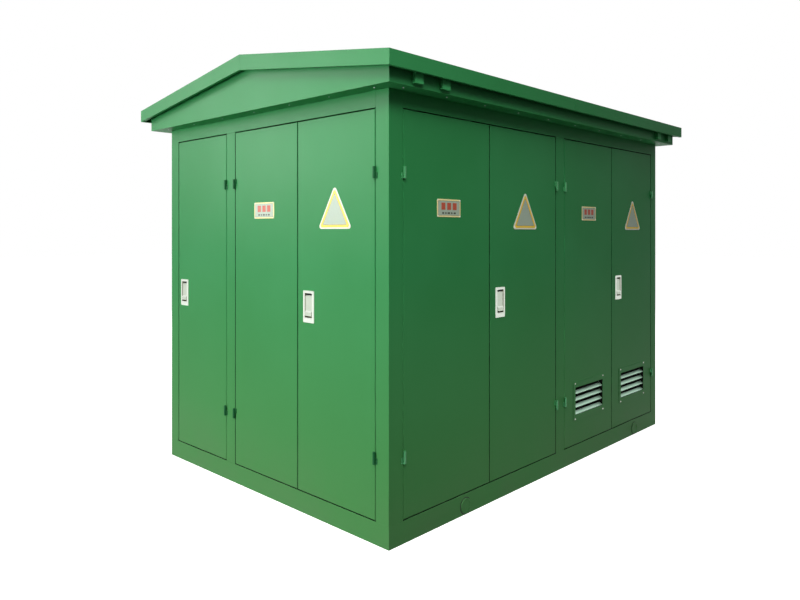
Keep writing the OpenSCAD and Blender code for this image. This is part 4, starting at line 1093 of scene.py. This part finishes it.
# %% The wire screen's tree
wire_tree, wire_keys = new_tree("wire_screen", Width="Float", Height="Float", Pitch="Float",
                                Wire="Float", Finish="Material")
given = wire_tree.node("NodeGroupInput")


def lines_over(length):
    return wire_tree.math("DIVIDE", length, given["Pitch"]) + 1


net = wire_tree.node("GeometryNodeMeshGrid", {
    "Size X": given["Width"], "Size Y": given["Height"],
    "Vertices X": lines_over(given["Width"]), "Vertices Y": lines_over(given["Height"])})["Mesh"]
lines = wire_tree.node("GeometryNodeMeshToCurve", {"Mesh": net})["Curve"]
ring = wire_tree.node("GeometryNodeCurvePrimitiveCircle", {"Resolution": 4, "Radius": given["Wire"]},
                      mode="RADIUS")["Curve"]
wires = wire_tree.node("GeometryNodeCurveToMesh", {"Curve": lines, "Profile Curve": ring})["Mesh"]
end_tree(wire_tree, wires, given)
print("Wire screen inputs:", list(wire_keys))

# %% Dust filters behind the vents
vent_back = 30.3 * mm
filter_x, filter_z = 186 * mm, 90 * mm
bar_half = 6 * mm
bar_end = 6.2 * mm


def dust_filter(name, middle, body):
    """A fleece, its frame and its wire screen, behind a vent whose middle is given."""
    fleece, bars = bmesh.new(), bmesh.new()
    box_on(fleece, middle, (-filter_x, vent_back + 1.6 * mm, -filter_z),
           (filter_x, vent_back + 3.4 * mm, filter_z), 0.8 * mm)
    piece(name + "_fleece", fleece, body, "seal_rubber", ["throat_shade_black"])
    x, z = filter_x + bar_half, filter_z + bar_half
    for u, v, half_u, half_v in ((0, z, x + bar_half, bar_half), (0, -z, x + bar_half, bar_half),
                                 (-x, 0, bar_half, z - bar_end), (x, 0, bar_half, z - bar_end)):
        box_on(bars, middle, (u - half_u, vent_back, v - half_v),
               (u + half_u, vent_back + 3.8 * mm, v + half_v), 0.7 * mm)
    piece(name + "_frame", bars, body, "zinc")
    upright_net = middle @ shift((0, vent_back + 0.9 * mm, 0)) @ upright
    grow(name + "_screen", wire_tree, wire_keys, [], {
        "Width": 2 * filter_x, "Height": 2 * filter_z, "Pitch": 9 * mm, "Wire": 0.6 * mm,
        "Finish": finishes["throat_shade_black"]}, body, at=upright_net)


for door in "cd":
    dust_filter("filter_" + door, middle_of("front", "vent_" + door), "door_" + door)
for i, u in enumerate(end_vents):
    middle = on_wall("right") @ shift((u, 0, vent_middle))
    dust_filter("filter_end_%d" % (i + 1), middle, "housing")
    vent_screws("end_%d" % (i + 1), middle, "housing")

# %% [markdown]
# An open door shows the fronts of the switchgear or the switchboard. Each switchgear bay has a dial with
# a pointer in its round window, a mimic line down to the two drive sockets and three signal lamps. Each
# section of the switchboard has a square meter and three lamps. Pointers and ticks are real forms.

# %% Instrument finishes
finish("dial_white", enamel((0.74, 0.75, 0.72), (0.79, 0.80, 0.77)), plain(0.5))
for name, low, high in (("lamp_red", (0.42, 0.02, 0.015), (0.52, 0.03, 0.02)),
                        ("lamp_yellow", (0.72, 0.42, 0.03), (0.82, 0.50, 0.05)),
                        ("lamp_green", (0.03, 0.32, 0.08), (0.05, 0.40, 0.11))):
    finish(name, enamel(low, high), plain(0.18), coat=0.6)
print(len(finishes), "finishes in all")

# %% Instrument helpers
tick_shape = bmesh.new()
tick = oblong(0.5, 0.5)
stack(tick_shape, upright, [(tick, 0.0), (tick, 5.6), (inset(tick, 0.25), 6.0)])
tick_mark = pattern("tick", tick_shape)


def scale_ticks(place, centre, radius, first, last, count, height):
    """Places for tick marks on an arc of a dial, each facing outwards."""
    found = []
    for i in range(count):
        angle = math.radians(first + (last - first) * i / (count - 1))
        way = Vector((math.cos(angle), 0, math.sin(angle)))
        found.append((place @ (Vector((centre[0], -height, centre[1])) + way * radius),
                      place.to_3x3() @ way))
    return found


def pointer(shape, place, length, angle, height):
    """A tapered pointer with its hub."""
    turn = place @ turned_by(-angle, "Y")
    tail = -length * 0.2
    blade = [(tail, -1.6 * mm), (length, -0.4 * mm), (length, 0.4 * mm), (tail, 1.6 * mm)]
    stack(shape, turn, [(blade, height), (blade, height + 0.8 * mm)])
    turned(shape, place, [(4.5 * mm, height), (4.5 * mm, height + 1.6 * mm), (3.4 * mm, height + 2.4 * mm)])


def signal_lamps(name, places):
    """Signal lamps in a row: a black collar and a domed lens each, in three colours."""
    collars = bmesh.new()
    for place in places:
        turned(collars, place, in_mm((10, 0), (10, 3), (9, 4), (7.6, 4)))
    piece(name + "_collars", collars, "housing", "breaker_black")
    for colour, place in zip(("lamp_yellow", "lamp_green", "lamp_red"), places):
        lens = bmesh.new()
        turned(lens, place, in_mm((7.4, 4.1), (7.4, 6), (6.6, 8), (4.6, 9.6), (2, 10.4)))
        piece(name + "_" + colour, lens, "housing", "breaker_black", [colour])


print("One tick has", len(tick_mark.data.polygons), "faces")

# %% Switchgear bays
bays = 3
gear_low, gear_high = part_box("switchgear_cabinet")
bay_w = (gear_high.x - gear_low.x) / bays
drive_face = gear_low.y - 26 * mm
dial_z, window_depth = 1.166, 8 * mm
dial_profile = in_mm((36.5, 0.05), (36.5, 1.2), (36, 1.6))
dial_face = 1.7 * mm
dial_readings = (150, 150, 35)
mimic_bars = [(-2.5, 2.5, -150, -52), (-75, 75, -155, -150), (-75, -70, -172, -155), (70, 75, -172, -155)]
ticks = []
faces_shape, pointers, mimic = bmesh.new(), bmesh.new(), bmesh.new()
for bay in range(bays):
    centre = gear_low.x + bay_w * (bay + 0.5)
    dial = shift((centre, drive_face + window_depth, dial_z))
    turned(faces_shape, dial, dial_profile, around)
    pointer(pointers, dial, 27 * mm, dial_readings[bay], dial_face)
    ticks += scale_ticks(dial, (0, 0), 28 * mm, -30, 210, 9, dial_face)
    blocks_on(mimic, shift((centre, drive_face, dial_z)), mimic_bars, -0.6 * mm, -0.05 * mm, 0.2 * mm)
    signal_lamps("bay_%d_lamps" % (bay + 1), [
        shift((centre + x * mm, drive_face, dial_z + 80 * mm)) for x in (-40, 0, 40)])
piece("dial_faces", faces_shape, "housing", "front_white", ["dial_white"])
piece("dial_pointers", pointers, "housing", "breaker_black", ["plate_red"])
piece("mimic_lines", mimic, "housing", "breaker_black")
rows("dial_ticks", tick_mark, ticks, 0.9 * mm, "breaker_black", "housing")

# %% Switchboard sections
sections = 3
board_low, board_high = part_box("lv_switchboard")
section_w = (board_high.x - board_low.x) / sections
meter_z = 1.766
meter_face = 6.3 * mm
meter_readings = (140, 125, 160)
square = oblong(48 * mm, 48 * mm)
edge = rounded(square, 4 * mm)
meter_loops = [(edge, 0.05 * mm), (edge, 8 * mm)] + [
    (rounded(inset(square, in_by), 3 * mm), height)
    for in_by, height in in_mm((1.5, 9.5), (6, 9.5), (7, 6))]
ticks = []
meters, pointers = bmesh.new(), bmesh.new()
for section in range(sections):
    centre = board_low.x + section_w * (section + 0.5)
    face = shift((centre, board_high.y, meter_z)) @ turned_by(180, "Z")
    stack(meters, face, meter_loops, [0, 0, 0, 0, 1])
    hub = face @ shift((28 * mm, 0, -28 * mm))
    pointer(pointers, hub, 52 * mm, meter_readings[section], meter_face)
    ticks += scale_ticks(face, (28 * mm, -28 * mm), 54 * mm, 92, 178, 10, meter_face)
    signal_lamps("section_%d_lamps" % (section + 1), [
        face @ shift((x * mm, 0, 0)) for x in (100, 140, 180)])
piece("meters", meters, "housing", "breaker_black", ["breaker_black", "dial_white"])
piece("meter_pointers", pointers, "housing", "breaker_black")
rows("meter_ticks", tick_mark, ticks, 1.0 * mm, "breaker_black", "housing")

# %% [markdown]
# The two sheen lamps are seen only by paint and plates, as a haze. Light linking keeps them off the
# bright metal, where they would show as hard white patches.

# %% What the sheen reaches
sheen_on = bpy.data.collections.new("sheen_on")
hazy = ("green", "plate")
for made in scene.objects:
    names = [held.material.name for held in made.material_slots if held.material]
    if made.type == "MESH" and any(word in name for name in names for word in hazy):
        sheen_on.objects.link(made)
for made in sheens:
    made.light_linking.receiver_collection = sheen_on
